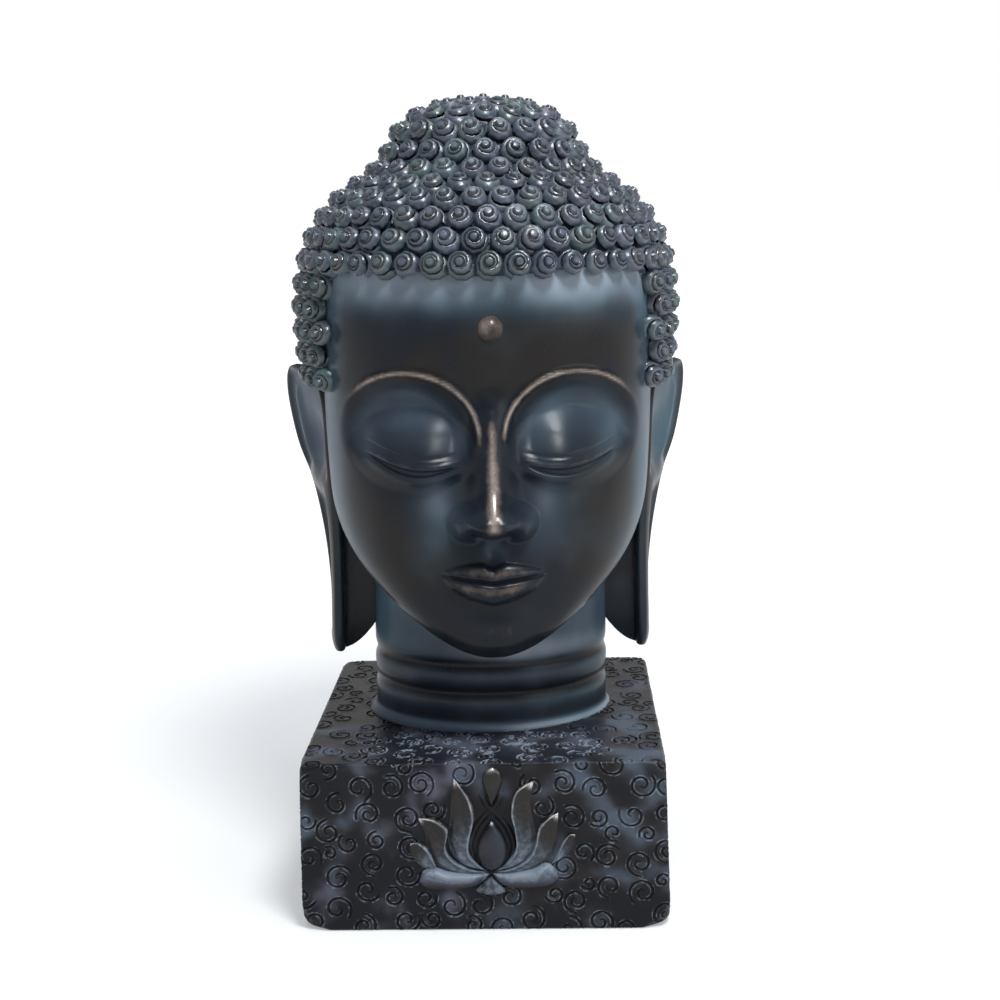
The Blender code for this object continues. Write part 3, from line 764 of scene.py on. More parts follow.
def curlSeats():  # root and outward direction of every curl, in fingers
    pitch = curl["pitch"] / finger
    toHairline = np.interp(-hair["hairlineRow"], -scalpCurve[:, 1], scalpLengths)
    rowsAbove = round(toHairline / (pitch * math.sqrt(3) / 2))
    rowGap = toHairline / rowsAbove
    seats = []
    for row in range(int(scalpLengths[-1] / rowGap) + 1):
        along = row * rowGap
        radius = np.interp(along, scalpLengths, scalpCurve[:, 0])
        z = np.interp(along, scalpLengths, scalpCurve[:, 1])
        count = max(1, round(math.pi * radius * (1 + float(longWay(z))) / pitch))
        shift = 0.5 * ((row - rowsAbove) % 2)
        for k in range(count):
            turn = 2 * math.pi * (k + shift) / count
            root = scalpSpot(along, turn)
            if hairGrows(root):
                step = hair["probe"]
                down = scalpSpot(along + step, turn) - scalpSpot(max(along - step, 0), turn)
                side = scalpSpot(max(along, step), turn + step) - scalpSpot(max(along, step), turn - step)
                outward = np.cross(side, down)
                if row == 0:
                    outward = np.array([0, 0, 1.0])
                outward = outward / np.linalg.norm(outward)
                if outward @ (root - np.array([0, hair["setback"], hair["skullMiddle"]])) < 0:
                    outward = -outward
                if root[2] < hair["hairline"]:  # at the temples the curls turn to the front
                    forward = hair["combed"] * float(smoothStep(*hair["combedFrom"], root[1]))
                    outward = outward - np.array([0, forward, 0])
                    outward = outward / np.linalg.norm(outward)
                seats.append((root, outward))
    return seats


def curlTemplate(leftHanded):
    # a strip wound round a knob as a snail, groove to shoulder to groove, and widening from nothing at first
    bm = bmesh.new()
    bmesh.ops.create_grid(bm, x_segments=curl["steps"], y_segments=2, size=1)
    raised, hollow, wash = (bm.verts.layers.float.new(name) for name in ("raised", "hollow", "wash"))
    valleys = set()
    radii, heights = zip(*curl["slope"])
    for vert in bm.verts:
        turn = (vert.co.x + 1) / 2 * curl["steps"] / curl["stepsPerTurn"]
        across = (vert.co.y + 1) / 2
        inner = curl["knob"] + curl["ring"] * max(turn - 1, 0)
        outer = curl["knob"] + curl["ring"] * turn
        crest = (1 - abs(2 * across - 1)) * min(1.0, turn * curl["opening"])
        reach = inner + (outer - inner) * (across + (curl["shoulder"] - 0.5) * crest)
        angle = 2 * math.pi * turn * (-1 if leftHanded else 1)
        groove = float(np.interp(reach, radii, heights))
        top = float(np.interp(inner, radii, heights)) + curl["swell"]
        rise = groove + (top - groove) * crest
        ending = smoothStep(curl["endingFrom"], curl["steps"] / curl["stepsPerTurn"], turn)
        reach = reach * (1 - curl["tucked"] * ending)
        vert.co = (reach * math.cos(angle), reach * math.sin(angle), rise - curl["sunk"] * ending)
        low = smoothStep(*curl["low"], reach)
        # painted shade: the grooves and the low outer rings get less wash and less rub, so they read darker
        vert[raised] = crest * (0.58 - 0.16 * low)
        vert[hollow] = -0.7 * (1 - crest) * (1 - low)
        vert[wash] = curl["wash"] - 0.08 * low
        if crest < 0.5:
            valleys.add(vert)
    bmesh.ops.remove_doubles(bm, verts=bm.verts, dist=curl["weld"])
    rim = [e for e in bm.edges if e.is_boundary and max(v.co.xy.length for v in e.verts) < curl["knob"] * 1.2]
    middle = bmesh.ops.holes_fill(bm, edges=rim, sides=0)["faces"]
    for edge in bm.edges:
        edge.smooth = not (edge.verts[0] in valleys and edge.verts[1] in valleys)
    bmesh.ops.inset_individual(bm, faces=middle, thickness=curl["knob"] * curl["knobRound"])
    knobRing = list(middle[0].verts)
    knob = bmesh.ops.poke(bm, faces=middle)["verts"][0]
    knob.co = (0, 0, heights[0])
    for vert in knobRing:
        vert.co.z = curl["knobTop"]
    for vert in [knob, *knobRing]:
        vert[raised] = 0.38
        vert[hollow] = 0.0
        vert[wash] = curl["wash"]
    bmesh.ops.recalc_face_normals(bm, faces=bm.faces)
    mesh = bpy.data.meshes.new("curl template")
    bm.to_mesh(mesh)
    bm.free()
    return mesh


def makeCurls():
    rng = random.Random(curl["seed"])
    templates = [curlTemplate(False), curlTemplate(True)]
    bm = bmesh.new()
    tint, warm = (bm.verts.layers.float.new(name) for name in ("tint", "warm"))
    tilt = headTilt()
    for root, outward in curlSeats():
        before = len(bm.verts)
        bm.from_mesh(templates[rng.random() < curl["leftHanded"]])
        bm.verts.ensure_lookup_table()
        fresh = bm.verts[before:]
        place = Matrix.Translation(seatOnPlinth(np.array([root]))[0])
        facing = (tilt @ Vector(outward)).to_track_quat("Z", "Y").to_matrix().to_4x4()
        spin = Matrix.Rotation(rng.uniform(0, 2 * math.pi), 4, "Z")
        tip = Matrix.Rotation(math.radians(rng.uniform(-curl["tip"], curl["tip"])), 4, "X")
        size = Matrix.Scale(rng.uniform(*curl["sizes"]), 4)
        bmesh.ops.transform(bm, matrix=place @ facing @ tip @ spin @ size, verts=fresh)
        shade, warmth = rng.uniform(*curl["tints"]), rng.uniform(*curl["warmths"])
        for vert in fresh:
            vert[tint] = shade
            vert[warm] = warmth
    for mesh in templates:
        bpy.data.meshes.remove(mesh)
    return settlePiece("curls", bm, curlPatina)


def placeScalp(across, up):  # the bed under the curls, sunk out of sight where the face is
    along = (1 - up) * scalpLengths[-1]
    spots = scalpSpot(along, math.pi * across)
    x, y, z = spots[:, 0], spots[:, 1], spots[:, 2]
    over = smoothStep(hair["hairline"] + 0.12, hair["hairline"] + 0.42, z)
    temple = smoothStep(hair["templeHalfWidth"] + 0.25, hair["templeHalfWidth"] + 0.6, np.abs(x))
    temple = temple * smoothStep(hair["overEar"] - 0.3, hair["overEar"] + 0.1, z)
    temple = temple * smoothStep(-hair["templeFront"] + 0.1, -hair["templeFront"] + 0.5, y)
    behind = smoothStep(hair["behindEar"] - 0.4, hair["behindEar"], y)
    kept = np.maximum(np.maximum(over, temple), behind)
    middle = np.array([0, hair["setback"], hair["skullMiddle"]])
    sunkSize, fullSize = hair["bedSize"]
    share = (sunkSize + (fullSize - sunkSize) * kept)[:, None]
    points = middle + (spots - middle) * share
    return seatOnPlinth(points), {"wash": np.full(len(x), hair["bedWash"])}


def makeScalp():
    bm = sheetOf(*hair["bedCells"], placeScalp)
    closeTube(bm)
    return settlePiece("scalp", bm, skinPatina)


makeScalp()
makeCurls()


# Ears, bottom to top in fingers: height, front and rear edge, how far out each stands, and thickness
ear = {
    "sections": [
        (2.35, 0.30, 0.80, 6.05, 6.10, 0.10),
        (2.50, -0.20, 1.35, 6.02, 6.15, 0.48),
        (3.20, -0.55, 1.65, 6.02, 6.20, 0.62),
        (5.00, -0.60, 1.65, 5.98, 6.20, 0.62),
        (7.00, -0.60, 1.60, 5.95, 6.42, 0.60),
        (9.00, -0.75, 1.90, 5.98, 6.86, 0.66),
        (10.5, -0.90, 2.60, 6.02, 7.48, 0.74),
        (12.0, -0.90, 3.10, 6.05, 7.86, 0.74),
        (13.0, -0.50, 2.90, 6.25, 7.93, 0.68),
        (13.6, 0.30, 2.20, 6.70, 7.78, 0.50),
        (13.8, 1.00, 1.50, 7.10, 7.50, 0.10),
    ],
    "shell": 0.26,
    "bowl": 0.30,
    "fold": 0.16,
    "slot": 0.22,
    "columns": 96,
    "rows": 150,
}
earCurve = curveThrough(ear["sections"], 300)


def earCarving(chord, z):  # how deep the outer side is cut, from the front edge (-1) to the rear rim (1)
    wide = np.abs(chord)
    shell = smoothStep(0.90, 0.66, wide) * smoothStep(9.2, 10.2, z) * smoothStep(13.7, 13.2, z)
    bowl = hump(chord, z, -0.20, 10.9, 0.36, 1.0)
    fold = band(chord - 0.05 * (z - 11.5), 0.36, 0.13) * smoothStep(9.6, 10.4, z) * smoothStep(13.2, 12.4, z)
    slot = smoothStep(0.62, 0.34, wide) * smoothStep(3.0, 3.9, z) * smoothStep(9.3, 8.2, z)
    cut = ear["shell"] * shell + ear["bowl"] * bowl - ear["fold"] * fold + ear["slot"] * slot
    return cut, shell, slot


def placeEar(across, up, side):
    angle = math.pi * across
    at = np.linspace(0, 1, len(earCurve))
    z, front, rear, outFront, outRear, thick = (np.interp(up, at, earCurve[:, i]) for i in range(6))
    chord, sway = np.cos(angle), np.sin(angle)
    y = (front + rear) / 2 + (rear - front) / 2 * chord
    x = (outFront + outRear) / 2 + (outRear - outFront) / 2 * chord
    bulge = np.sign(sway) * np.abs(sway) ** 0.7 * thick / 2
    cut, shell, slot = earCarving(chord, z)
    outer = smoothStep(0.1, 0.35, sway)
    x = x + bulge - cut * outer
    rim = smoothStep(0.55, 0.95, np.abs(chord)) * smoothStep(-0.3, 0.2, sway)
    nearSide = smoothStep(0.2, -0.6, chord)
    wash = 0.10 + 0.70 * shell * outer + 0.45 * slot * outer + 0.25 * nearSide * (1 - outer)
    marks = {
        "raised": 0.14 * rim,
        "wash": np.clip(wash, 0, 1),
        "warm": 0.4 * rim,
        "pale": 0.30 * shell * nearSide * outer,
    }
    return seatOnPlinth(np.stack([side * x, y, z], 1)), marks


def makeEar(name, side):
    bm = sheetOf(ear["columns"], ear["rows"], lambda across, up: placeEar(across, up, side))
    closeTube(bm)
    return settlePiece(name, bm, skinPatina)


# The thin web between each lobe and the neck, in fingers
web = {
    "lowerEdge": [(3.4, 3.9), (4.45, 3.62), (4.75, 3.32), (5.1, 2.93), (5.5, 2.62), (6.0, 2.42)],
    "top": 9.5,
    "points": 30,
    "front": 0.25,
    "rear": 1.15,
    "round": 0.0010,
    "wash": 0.22,
}


def makeWeb(name, side):
    bm = bmesh.new()
    lower = curveThrough(web["lowerEdge"], web["points"])
    outline = [*lower, (lower[-1][0], web["top"]), (lower[0][0], web["top"])]
    corners = [bm.verts.new((side * x, web["front"], z)) for x, z in outline]
    sheet = bm.faces.new(corners)
    made = bmesh.ops.extrude_face_region(bm, geom=[sheet])
    moved = [v for v in made["geom"] if isinstance(v, bmesh.types.BMVert)]
    bmesh.ops.translate(bm, vec=(0, web["rear"] - web["front"], 0), verts=moved)
    seated = seatOnPlinth(np.array([v.co[:] for v in bm.verts]))
    for vert, point in zip(bm.verts, seated):
        vert.co = point
    bmesh.ops.recalc_face_normals(bm, faces=bm.faces)
    shape = {"profile": 0.5, "material": -1, "affect": "EDGES", "clamp_overlap": True}
    bmesh.ops.bevel(bm, geom=bm.edges[:], offset=web["round"], segments=3, **shape)
    wash = bm.verts.layers.float.new("wash")
    for vert in bm.verts:
        vert[wash] = web["wash"]
    return settlePiece(name, bm, skinPatina)


for side, word in ((1, "right"), (-1, "left")):
    makeEar(word + "Ear", side)
    makeWeb(word + "LobeWeb", side)


# The forehead's round mark, worn all over, with a painted highlight that grows towards glintWay
dot = {
    "diameter": 0.0142,
    "height": 15.65,
    "sunk": 0.24,
    "columns": 48,
    "rows": 32,
    "wearAndHighlight": 0.48,
    "glint": 1.2,
    "glintWay": (-0.3, -1.0, 0.4),
    "glintFrom": 0.85,
}


def makeDot():
    front = float(np.interp(dot["height"], faceCurve[:, 0], faceCurve[:, 2]))
    bm = bmesh.new()
    cells = {"u_segments": dot["columns"], "v_segments": dot["rows"]}
    bmesh.ops.create_uvsphere(bm, **cells, radius=dot["diameter"] / 2)
    middle = Vector(seatOnPlinth(np.array([[0, dot["sunk"] - front, dot["height"]]]))[0])
    bmesh.ops.translate(bm, vec=middle, verts=bm.verts)
    raised = bm.verts.layers.float.new("raised")
    for vert in bm.verts:
        towards = (vert.co - middle).normalized().dot(Vector(dot["glintWay"]))
        vert[raised] = dot["wearAndHighlight"] + dot["glint"] * max(0.0, towards - dot["glintFrom"])
    return settlePiece("foreheadDot", bm, skinPatina)


makeDot()


# Plinth: each side is a fine sheet with swirls cut into it, closed behind
swirl = {
    "radii": (0.0072, 0.0062, 0.0053, 0.0043),
    "tries": (240, 320, 320, 260),
    "spacing": 0.92,
    "sizes": (0.92, 1.08),
    "turns": (1.05, 1.6),
    "from": 0.14,
    "to": 0.94,
    "tail": (0.05, 0.35),
    "bend": (0.2, 1.0),
    "lineWidth": 0.00060,
    "depth": 0.00090,
    "lip": 0.00022,
    "step": 0.00025,
}


def swirlStrokes(width, height, seed, clear=None):  # dots along every cut line on a flat field
    rng = random.Random(seed)
    kept = []
    for radius, tries in zip(swirl["radii"], swirl["tries"]):
        for _ in range(tries):
            size = radius * rng.uniform(*swirl["sizes"])
            x, y = rng.uniform(-width / 2, width / 2), rng.uniform(0, height)
            if clear and clear(x, y):
                continue
            if all(math.hypot(x - a, y - b) > swirl["spacing"] * (size + r) for a, b, r in kept):
                kept.append((x, y, size))
    dots = []
    for x, y, size in kept:
        turns = rng.uniform(*swirl["turns"]) * (size / swirl["radii"][0]) ** 0.25
        hand = rng.choice((-1, 1))
        start = rng.uniform(0, 2 * math.pi)
        length = math.pi * size * turns * 1.15
        steps = max(12, int(length / swirl["step"]))
        for i in range(steps + 1):
            t = i / steps
            reach = size * (swirl["from"] + (swirl["to"] - swirl["from"]) * t**0.85)
            angle = start + hand * 2 * math.pi * turns * t
            dots.append((x + reach * math.cos(angle), y + reach * math.sin(angle), min(1.0, 0.45 + 2.2 * t)))
        tip = start + hand * 2 * math.pi * turns
        tail = rng.uniform(*swirl["tail"]) * size
        bend = -hand * rng.uniform(*swirl["bend"])
        heading = tip + hand * math.pi / 2
        a = x + swirl["to"] * size * math.cos(tip)
        b = y + swirl["to"] * size * math.sin(tip)
        for i in range(int(tail / swirl["step"])):
            t = i * swirl["step"] / tail
            a += swirl["step"] * math.cos(heading)
            b += swirl["step"] * math.sin(heading)
            heading += bend * swirl["step"] / size * 2
            dots.append((a, b, 1.0 - 0.7 * t))
    return dots


def cutDepth(spots, dots, width=swirl["lineWidth"]):  # how deep each spot is cut, and its mark as lip
    tree = kdtree.KDTree(len(dots))
    for i, (x, y, _) in enumerate(dots):
        tree.insert((x, y, 0), i)
    tree.balance()
    gap = np.empty(len(spots))
    strength = np.empty(len(spots))
    for i, (x, y) in enumerate(spots):
        _, index, distance = tree.find((x, y, 0))
        gap[i] = distance
        strength[i] = dots[index][2]
    line = smoothStep(width * 1.15, width * 0.15, gap) * strength
    lip = band(gap, width * 1.7, width * 0.6) * strength
    return line, lip


def roundedSpot(points):  # pulls a sharp box's skin in to the plinth's rubbed edges and foot corners
    half = plinth["width"] / 2
    level = points[:, 2] / plinth["height"]
    grow = plinth["draft"] * (1 - level)
    box = np.stack([half + grow, half + grow], 1)
    aside = np.hypot(np.abs(points[:, 0]) - half, np.abs(points[:, 1]) - half)
    footNear, footFar = plinth["footReach"]
    topNear, topFar = plinth["topReach"]
    atFoot = smoothStep(footFar, footNear, np.hypot(aside, points[:, 2]))
    atTop = smoothStep(topFar, topNear, np.hypot(aside, points[:, 2] - plinth["height"]))
    rounding = plinth["edge"] + (plinth["footCorner"] - plinth["edge"]) * atFoot
    rounding = rounding + (plinth["topCorner"] - plinth["edge"]) * atTop
    x = points[:, 0] / half * box[:, 0]
    y = points[:, 1] / half * box[:, 1]
    inner = np.stack(
        [
            np.clip(x, -box[:, 0] + rounding, box[:, 0] - rounding),
            np.clip(y, -box[:, 1] + rounding, box[:, 1] - rounding),
            np.clip(points[:, 2], rounding, plinth["height"] - rounding),
        ],
        1,
    )
    away = np.stack([x, y, points[:, 2]], 1) - inner
    outward = away / np.maximum(np.linalg.norm(away, axis=1)[:, None], 1e-9)
    return inner + outward * rounding[:, None], outward


lotus = {
    "width": 0.081,
    "foot": 0.0318,
    "offset": 0.0034,
    "relief": 0.0040,
    "step": 0.0009,
    "rim": (0.93, 0.05),
    "columns": 60,
    "rows": 48,
}

# The lotus's own field on the front, in shares of the lotus's width from its foot
lotusField = {
    "levels": (-0.16, -0.11, 0.0, 0.20, 0.36, 0.58, 0.72),
    "halfWidths": (0.06, 0.38, 0.44, 0.46, 0.36, 0.20, 0.05),
    "sunk": 0.0009,
    "ridge": 0.0008,
    "ridgeWidth": 0.0017,
    "bud": (0.012, 0.20, 0.15, 0.20),
    "ridges": (
        [(-0.11, 0.09), (-0.125, 0.18), (-0.085, 0.29), (-0.02, 0.375), (0.045, 0.44), (0.07, 0.50)],
        [(0.13, 0.09), (0.145, 0.18), (0.105, 0.29), (0.045, 0.37), (-0.02, 0.44), (-0.045, 0.50)],
    ),
}


def onLotus(x, z):
    level = (z - lotus["foot"]) / lotus["width"]
    reach = np.interp(level, lotusField["levels"], lotusField["halfWidths"], 0, 0)
    return abs(x - lotus["offset"]) / lotus["width"] < reach


def lotusGround(x, z):  # how far the field round the bud is sunk, and the crossing ridges on it
    across, level = (x - lotus["offset"]) / lotus["width"], (z - lotus["foot"]) / lotus["width"]
    sunk = hump(across, level, *lotusField["bud"])
    stroke = np.vstack([curveThrough(line, 160) for line in lotusField["ridges"]]) * lotus["width"]
    dots = [(a + lotus["offset"], b + lotus["foot"], 1.0) for a, b in stroke]
    ridge, _ = cutDepth(np.stack([x, z], 1), dots, lotusField["ridgeWidth"])
    return sunk, ridge


def placeSide(turn, dots, isFront):
    def place(across, up):
        half, tall = plinth["width"] / 2, plinth["height"]
        x, z = across * half, up * tall
        line, lip = cutDepth(np.stack([x, z], 1), dots)
        spots, outward = roundedSpot(np.stack([x, np.full(len(x), -half), z], 1))
        depth = swirl["depth"] * line - swirl["lip"] * lip
        sunk, ridge = lotusGround(x, z) if isFront else np.zeros((2, len(x)))
        depth = depth + lotusField["sunk"] * sunk - lotusField["ridge"] * ridge
        spots = spots - outward * depth[:, None]
        spin = np.array(Matrix.Rotation(turn, 3, "Z"))
        edge = smoothStep(*plinth["rubbed"], tall - z)
        # painted shade: the cut lines and the lotus's sunk field lose wash and read darker; painted
        # highlights: the lips beside the cuts go pale and glint
        marks = {
            "raised": np.clip(0.35 * edge + 0.45 * lip + 0.25 * ridge, 0, 1),
            "wash": 0.12 + 0.15 * ridge,
            "hollow": -0.9 * line - 1.2 * sunk,
            "pale": 0.30 * lip,
        }
        return spots @ spin.T, marks

    return place


def placeTop(dots):
    def place(across, up):
        half = plinth["width"] / 2
        x, y = across * half, banded(plinth["topBands"], up)
        line, lip = cutDepth(np.stack([x, y + half], 1), dots)
        spots, outward = roundedSpot(np.stack([x, y, np.full(len(x), plinth["height"])], 1))
        depth = swirl["depth"] * line - swirl["lip"] * lip
        spots = spots - outward * depth[:, None]
        edge = smoothStep(*plinth["rubbed"], half - np.maximum(np.abs(x), np.abs(y)))
        # painted light on the top: a bluer sheen and pale glints on the swirl lips in front of the neck, a
        # patch of painted reflection on the right, and painted shade in the cut lines
        frontSheen = hump(x, y, *plinth["topFront"])
        marks = {
            "raised": np.clip(0.35 * edge + (0.42 + 0.30 * frontSheen) * lip, 0, 1),
            "wash": 0.12 + 0.30 * frontSheen + 0.22 * hump(x, y, *plinth["topRight"]),
            "hollow": -0.8 * line,
            "pale": frontSheen * (0.10 + 1.5 * lip),
        }
        return spots, marks

    return place


def closeBehind(bm, towards):  # draws the sheet's rim in and caps it, so that the piece is a closed form
    rim = [e for e in bm.edges if e.is_boundary]
    made = bmesh.ops.extrude_edge_only(bm, edges=rim)
    moved = [v for v in made["geom"] if isinstance(v, bmesh.types.BMVert)]
    for vert in moved:
        vert.co = vert.co.lerp(towards, 0.3)
    bmesh.ops.holes_fill(bm, edges=[e for e in bm.edges if e.is_boundary], sides=0)
    bmesh.ops.recalc_face_normals(bm, faces=bm.faces)


def placeUnderside(across, up):
    half = plinth["width"] / 2
    spots, _ = roundedSpot(np.stack([across * half, (up * 2 - 1) * half, np.zeros(len(up))], 1))
    return spots, {"wash": np.full(len(up), 0.2)}


plinthSides = {  # turn from the front in degrees, size of a mesh cell in metres, and seed of the swirls
    "plinthFront": (0, 0.00042, 3),
    "plinthRight": (90, 0.0009, 4),
    "plinthBack": (180, 0.0009, 5),
    "plinthLeft": (270, 0.0009, 6),
}


def makePlinth():
    middle = Vector((0, 0, plinth["height"] / 2))
    width, height = plinth["width"], plinth["height"]
    sheets = {}
    for name, (turn, cell, seed) in plinthSides.items():
        dots = swirlStrokes(width, height, seed, onLotus if turn == 0 else None)
        place = placeSide(math.radians(turn), dots, turn == 0)
        sheets[name] = (round(width / cell), round(height / cell), place)
    topPlace = placeTop(swirlStrokes(width, width, plinth["topSeed"]))
    sheets["plinthTop"] = (round(width / plinth["topCell"]), stepsIn(plinth["topBands"]), topPlace)
    sheets["plinthUnderside"] = (plinth["undersideCells"], plinth["undersideCells"], placeUnderside)
    for name, sheet in sheets.items():
        bm = sheetOf(*sheet)
        closeBehind(bm, middle)
        settlePiece(name, bm, plinthPatina)


makePlinth()


# Lotus petals, as shares of the lotus's width from its foot: both edges from base to tip, how high, and
# the side that has the raised rim (0 on a bud)
petals = {
    "outerLeft": (
        [
            (-0.01, 0.0), (-0.12, -0.01), (-0.24, -0.003), (-0.34, 0.044),
            (-0.39, 0.146), (-0.41, 0.26), (-0.447, 0.356),
        ],
        [
            (-0.01, 0.0), (-0.15, 0.03), (-0.25, 0.10), (-0.279, 0.18),
            (-0.262, 0.29), (-0.35, 0.352), (-0.447, 0.356),
        ],
        0.80,
        1,
    ),
    "outerRight": (
        [(0.012, 0.0), (0.14, 0.03), (0.24, 0.10), (0.28, 0.19), (0.30, 0.29), (0.36, 0.35), (0.428, 0.384)],
        [
            (0.012, 0.0), (0.17, -0.01), (0.30, 0.035), (0.38, 0.10),
            (0.418, 0.18), (0.42, 0.27), (0.428, 0.384),
        ],
        0.80,
        -1,
    ),
    "farLeft": (
        [(-0.34, 0.02), (-0.42, 0.03), (-0.475, 0.08), (-0.505, 0.14), (-0.50, 0.19)],
        [(-0.34, 0.02), (-0.365, 0.10), (-0.40, 0.165), (-0.45, 0.20), (-0.50, 0.19)],
        0.65,
        1,
    ),
    "farRight": (
        [(0.38, 0.05), (0.42, 0.12), (0.45, 0.19), (0.49, 0.24), (0.53, 0.24)],
        [(0.38, 0.05), (0.44, 0.08), (0.49, 0.13), (0.525, 0.18), (0.53, 0.24)],
        0.60,
        -1,
    ),
    "tallLeft": (
        [
            (-0.02, 0.008), (-0.15, 0.037), (-0.23, 0.105), (-0.262, 0.21),
            (-0.248, 0.356), (-0.238, 0.48), (-0.217, 0.614),
        ],
        [
            (-0.02, 0.008), (-0.09, 0.06), (-0.134, 0.13), (-0.128, 0.22),
            (-0.095, 0.36), (-0.125, 0.49), (-0.217, 0.614),
        ],
        0.92,
        1,
    ),
    "tallRight": (
        [
            (0.022, 0.009), (0.09, 0.05), (0.158, 0.16), (0.150, 0.29),
            (0.130, 0.40), (0.165, 0.53), (0.279, 0.594),
        ],
        [
            (0.022, 0.009), (0.186, 0.044), (0.262, 0.12), (0.286, 0.22),
            (0.268, 0.36), (0.256, 0.47), (0.279, 0.594),
        ],
        0.92,
        -1,
    ),
    "middleBud": (
        [(0.001, 0.012), (-0.055, 0.045), (-0.085, 0.132), (-0.062, 0.225), (-0.02, 0.29), (0.012, 0.336)],
        [(0.001, 0.012), (0.07, 0.045), (0.102, 0.132), (0.08, 0.225), (0.04, 0.29), (0.012, 0.336)],
        0.90,
        0,
    ),
    "upperBud": (
        [(0.012, 0.43), (-0.015, 0.50), (-0.04, 0.585), (-0.03, 0.645), (0.022, 0.68)],
        [(0.012, 0.43), (0.05, 0.50), (0.082, 0.585), (0.072, 0.645), (0.022, 0.68)],
        0.60,
        0,
    ),
    "lowLeft": (
        [(-0.006, -0.006), (-0.05, -0.06), (-0.13, -0.10), (-0.27, -0.112), (-0.40, -0.105), (-0.455, -0.06)],
        [(-0.006, -0.006), (-0.13, 0.004), (-0.27, 0.012), (-0.36, 0.034), (-0.425, 0.01), (-0.455, -0.06)],
        1.0,
        0,
    ),
    "lowRight": (
        [(0.007, -0.006), (0.15, 0.01), (0.27, 0.026), (0.345, 0.058), (0.40, 0.02), (0.425, -0.04)],
        [(0.007, -0.006), (0.055, -0.07), (0.125, -0.104), (0.24, -0.107), (0.36, -0.092), (0.425, -0.04)],
        1.0,
        0,
    ),
    "drop": (
        [(0.002, -0.03), (-0.055, -0.075), (-0.10, -0.12), (-0.05, -0.142), (0.0, -0.147)],
        [(0.002, -0.03), (0.045, -0.075), (0.085, -0.125), (0.05, -0.142), (0.0, -0.147)],
        0.70,
        0,
    ),
}


def placePetal(name):
    left, right, height, rimSide = petals[name]
    edges = [curveThrough(edge, 120) for edge in (left, right)]
    leaf = abs(rimSide)

    def place(across, up):
        angle = math.pi * across
        share = (1 - np.cos(angle)) / 2
        along = np.linspace(0, 1, len(edges[0]))
        xLeft, zLeft = (np.interp(up, along, edges[0][:, i]) for i in (0, 1))
        xRight, zRight = (np.interp(up, along, edges[1][:, i]) for i in (0, 1))
        x, z = xLeft + (xRight - xLeft) * share, zLeft + (zRight - zLeft) * share
        taper = np.sin(math.pi * np.clip(up, 0.0, 1.0) ** 0.9) ** 0.45
        towards = share if rimSide > 0 else 1 - share  # 1 at the rim
        crown = np.sin(angle)
        if name.startswith("low"):
            upward = share if name == "lowLeft" else 1 - share
            crown = np.where(crown > 0, np.sin(math.pi * upward**1.7), crown)
        rim = band(towards, *lotus["rim"]) * leaf
        blade = 0.52 * smoothStep(0.0, 0.30, towards) + 0.50 * smoothStep(0.50, 0.95, towards) ** 1.4
        blade = blade * smoothStep(1.0, 0.95, towards)
        front = blade * leaf + np.maximum(crown, 0) * (1 - leaf)
        bulge = np.where(crown > 0, front, crown)
        rise = height / lotus["width"] * (lotus["step"] + lotus["relief"] * taper * bulge)
        level = (lotus["foot"] + z * lotus["width"]) / plinth["height"]
        wall = -(plinth["width"] / 2 + plinth["draft"] * (1 - level)) / lotus["width"]
        offset, foot = lotus["offset"] / lotus["width"], lotus["foot"] / lotus["width"]
        points = np.stack([x + offset, wall - rise, z + foot], 1)
        isFront = smoothStep(0.0, 0.25, np.sin(angle))
        tip = smoothStep(0.86, 0.99, up)
        # painted highlights: a pale, glinting line along the rim of each front-facing petal side and a glint
        # at the tip
        marks = {
            "raised": np.clip(0.95 * rim * isFront * (0.3 + 0.7 * up) + 1.2 * tip * isFront, 0, 1.3),
            "wash": np.clip(0.95 - 1.25 * up, 0.03, 1.0) if leaf else 0.20 + 0.28 * share,
            "warm": smoothStep(0.35, 0.8, up) * leaf,
            "pale": np.clip(0.75 * (1 - up) ** 1.6 + 0.8 * rim * isFront, 0, 1) * leaf,
        }
        if name.startswith("low"):
            # painted light on the low petals: the upper half goes pale and takes more wash, and a spot in the
            # middle is worn and painted with a highlight
            wearAndHighlight = hump(up, z, 0.42, -0.03, 0.22, 0.04)
            upperHalf = smoothStep(-0.085, 0.01, z) * (1 - 0.6 * smoothStep(0.55, 1.0, up))
            marks["pale"] = 0.9 * upperHalf + 0.9 * wearAndHighlight
            marks["wash"] = 0.25 + 0.6 * smoothStep(-0.11, -0.04, z)
            marks["raised"] = 0.55 * wearAndHighlight
        if name == "drop":
            marks["pale"] = np.full(len(up), 0.42)
        if name == "upperBud":
            marks["raised"] = 0.95 * smoothStep(0.6, 1.0, up)
            marks["wash"] = np.full(len(up), 0.1)
            marks["warm"] = np.ones(len(up))
        return points * lotus["width"], marks

    return place


def makeLotus():
    for name in petals:
        bm = sheetOf(lotus["columns"], lotus["rows"], placePetal(name))
        closeTube(bm)
        settlePiece("lotus." + name, bm, lotusPatina)


makeLotus()


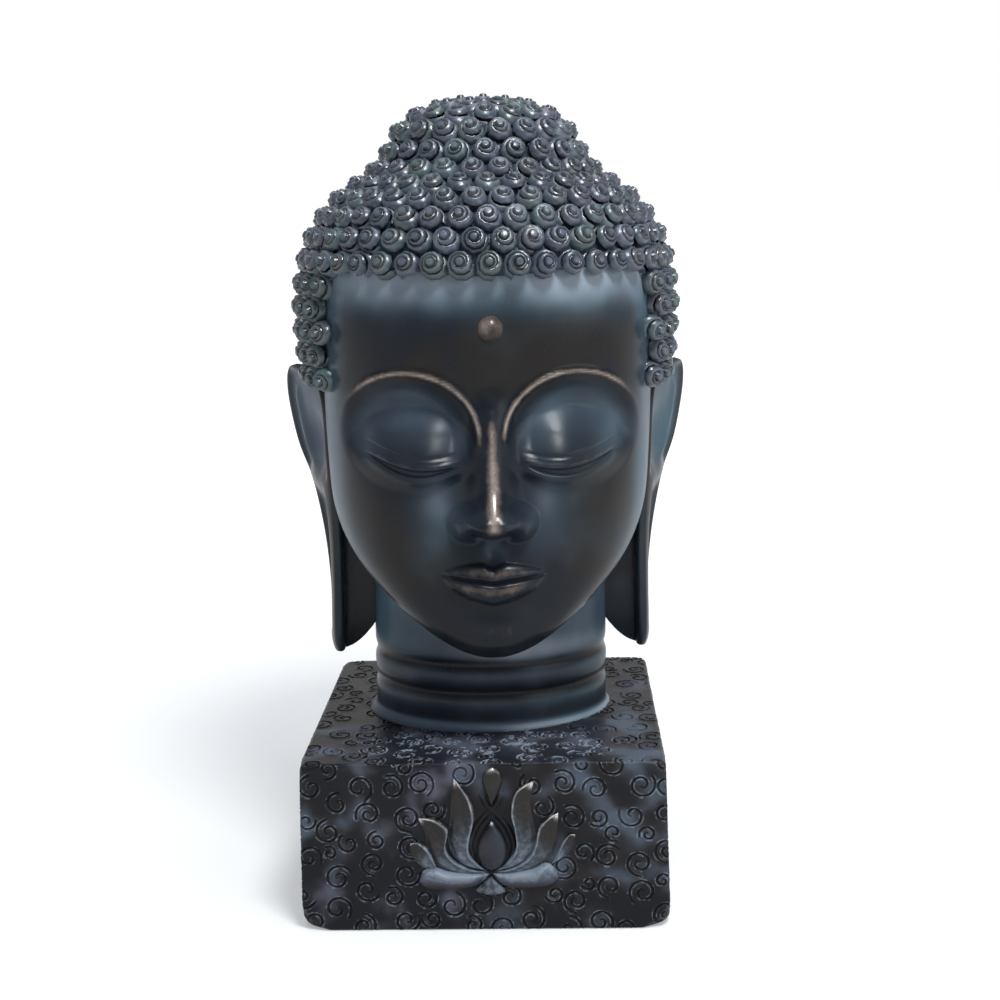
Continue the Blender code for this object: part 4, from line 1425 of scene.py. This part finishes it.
# Pale floor that goes white in the distance, a dim room in front, a bright one behind, and four soft lamps
studio = {
    "floor": (0.50, 0.50, 0.50, 1),
    "floorSize": 60,
    "floorRoughness": 0.9,
    "glowNear": (0.3, 0.3, 0.3, 1),
    "glowFar": (0.9, 0.9, 0.9, 1),
    "glowReach": (0.05, 1.4),
    "behind": (1.0, 1.0, 1.0, 1),
    "above": (0.45, 0.45, 0.45, 1),
    "frontLow": (0.09, 0.10, 0.12, 1),
    "frontHigh": (0.56, 0.62, 0.70, 1),
    "lampColour": (0.96, 0.985, 1.0),
    "lampAim": (0, 0, 0.25),
    "lamps": (  # name, place, size and power
        ("key", (0.30, -0.66, 1.28), (0.38, 0.38), 20.0),
        ("top", (0.10, 0.05, 1.55), (0.80, 0.80), 7.0),
        ("right", (1.15, -0.75, 0.62), (1.50, 0.50), 6.0),
        ("sideFill", (-1.0, -0.7, 0.7), (0.60, 0.60), 0.8),
    ),
}


def makeFloor():
    bm = bmesh.new()
    bmesh.ops.create_grid(bm, x_segments=1, y_segments=1, size=studio["floorSize"])
    mesh = bpy.data.meshes.new("floor")
    bm.to_mesh(mesh)
    bm.free()
    floor = bpy.data.objects.new("floor", mesh)
    bpy.context.scene.collection.objects.link(floor)
    finish = bpy.data.materials.new("floor")
    finish.use_nodes = True
    tree = finish.node_tree
    shader = tree.nodes["Principled BSDF"]
    shader.inputs["Base Color"].default_value = studio["floor"]
    shader.inputs["Roughness"].default_value = studio["floorRoughness"]
    w = Wire(tree)
    reach = w.node("VectorMath", {"operation": "LENGTH"}, {0: w.node("TexCoord", output=3)}, 1)
    glow = reach.ramp(*studio["glowReach"]).blend(studio["glowNear"], studio["glowFar"])
    tree.links.new(glow.socket, shader.inputs["Emission Color"])
    shader.inputs["Emission Strength"].default_value = 1.0
    mesh.materials.append(finish)


def makeStudio():
    makeFloor()
    world = bpy.data.worlds.new("room")
    bpy.context.scene.world = world
    world.use_nodes = True
    w = Wire(world.node_tree)
    way = w.node("TexCoord", output=0)
    depth = w.node("SeparateXYZ", {}, {0: way}, 1)
    rise = w.node("SeparateXYZ", {}, {0: way}, 2)
    front = rise.ramp(0.0, 0.8).blend(studio["frontLow"], studio["frontHigh"])
    front = rise.ramp(0.07, 0.13).blend(studio["behind"], front)
    back = rise.ramp(0.14, 0.45).blend(studio["behind"], studio["above"])
    room = depth.ramp(0.22, 0.82).blend(front, back)
    world.node_tree.links.new(room.socket, world.node_tree.nodes["Background"].inputs["Color"])
    for name, place, size, power in studio["lamps"]:
        lamp = bpy.data.objects.new(name, bpy.data.lights.new(name, "AREA"))
        lamp.data.energy = power
        lamp.data.shape = "ELLIPSE"
        lamp.data.size, lamp.data.size_y = size
        lamp.data.color = studio["lampColour"]
        bpy.context.scene.collection.objects.link(lamp)
        lamp.location = place
        lamp.rotation_euler = (Vector(studio["lampAim"]) - lamp.location).to_track_quat("-Z", "Y").to_euler()
    bpy.context.scene.view_settings.view_transform = "Standard"


makeStudio()
print("studio lit")
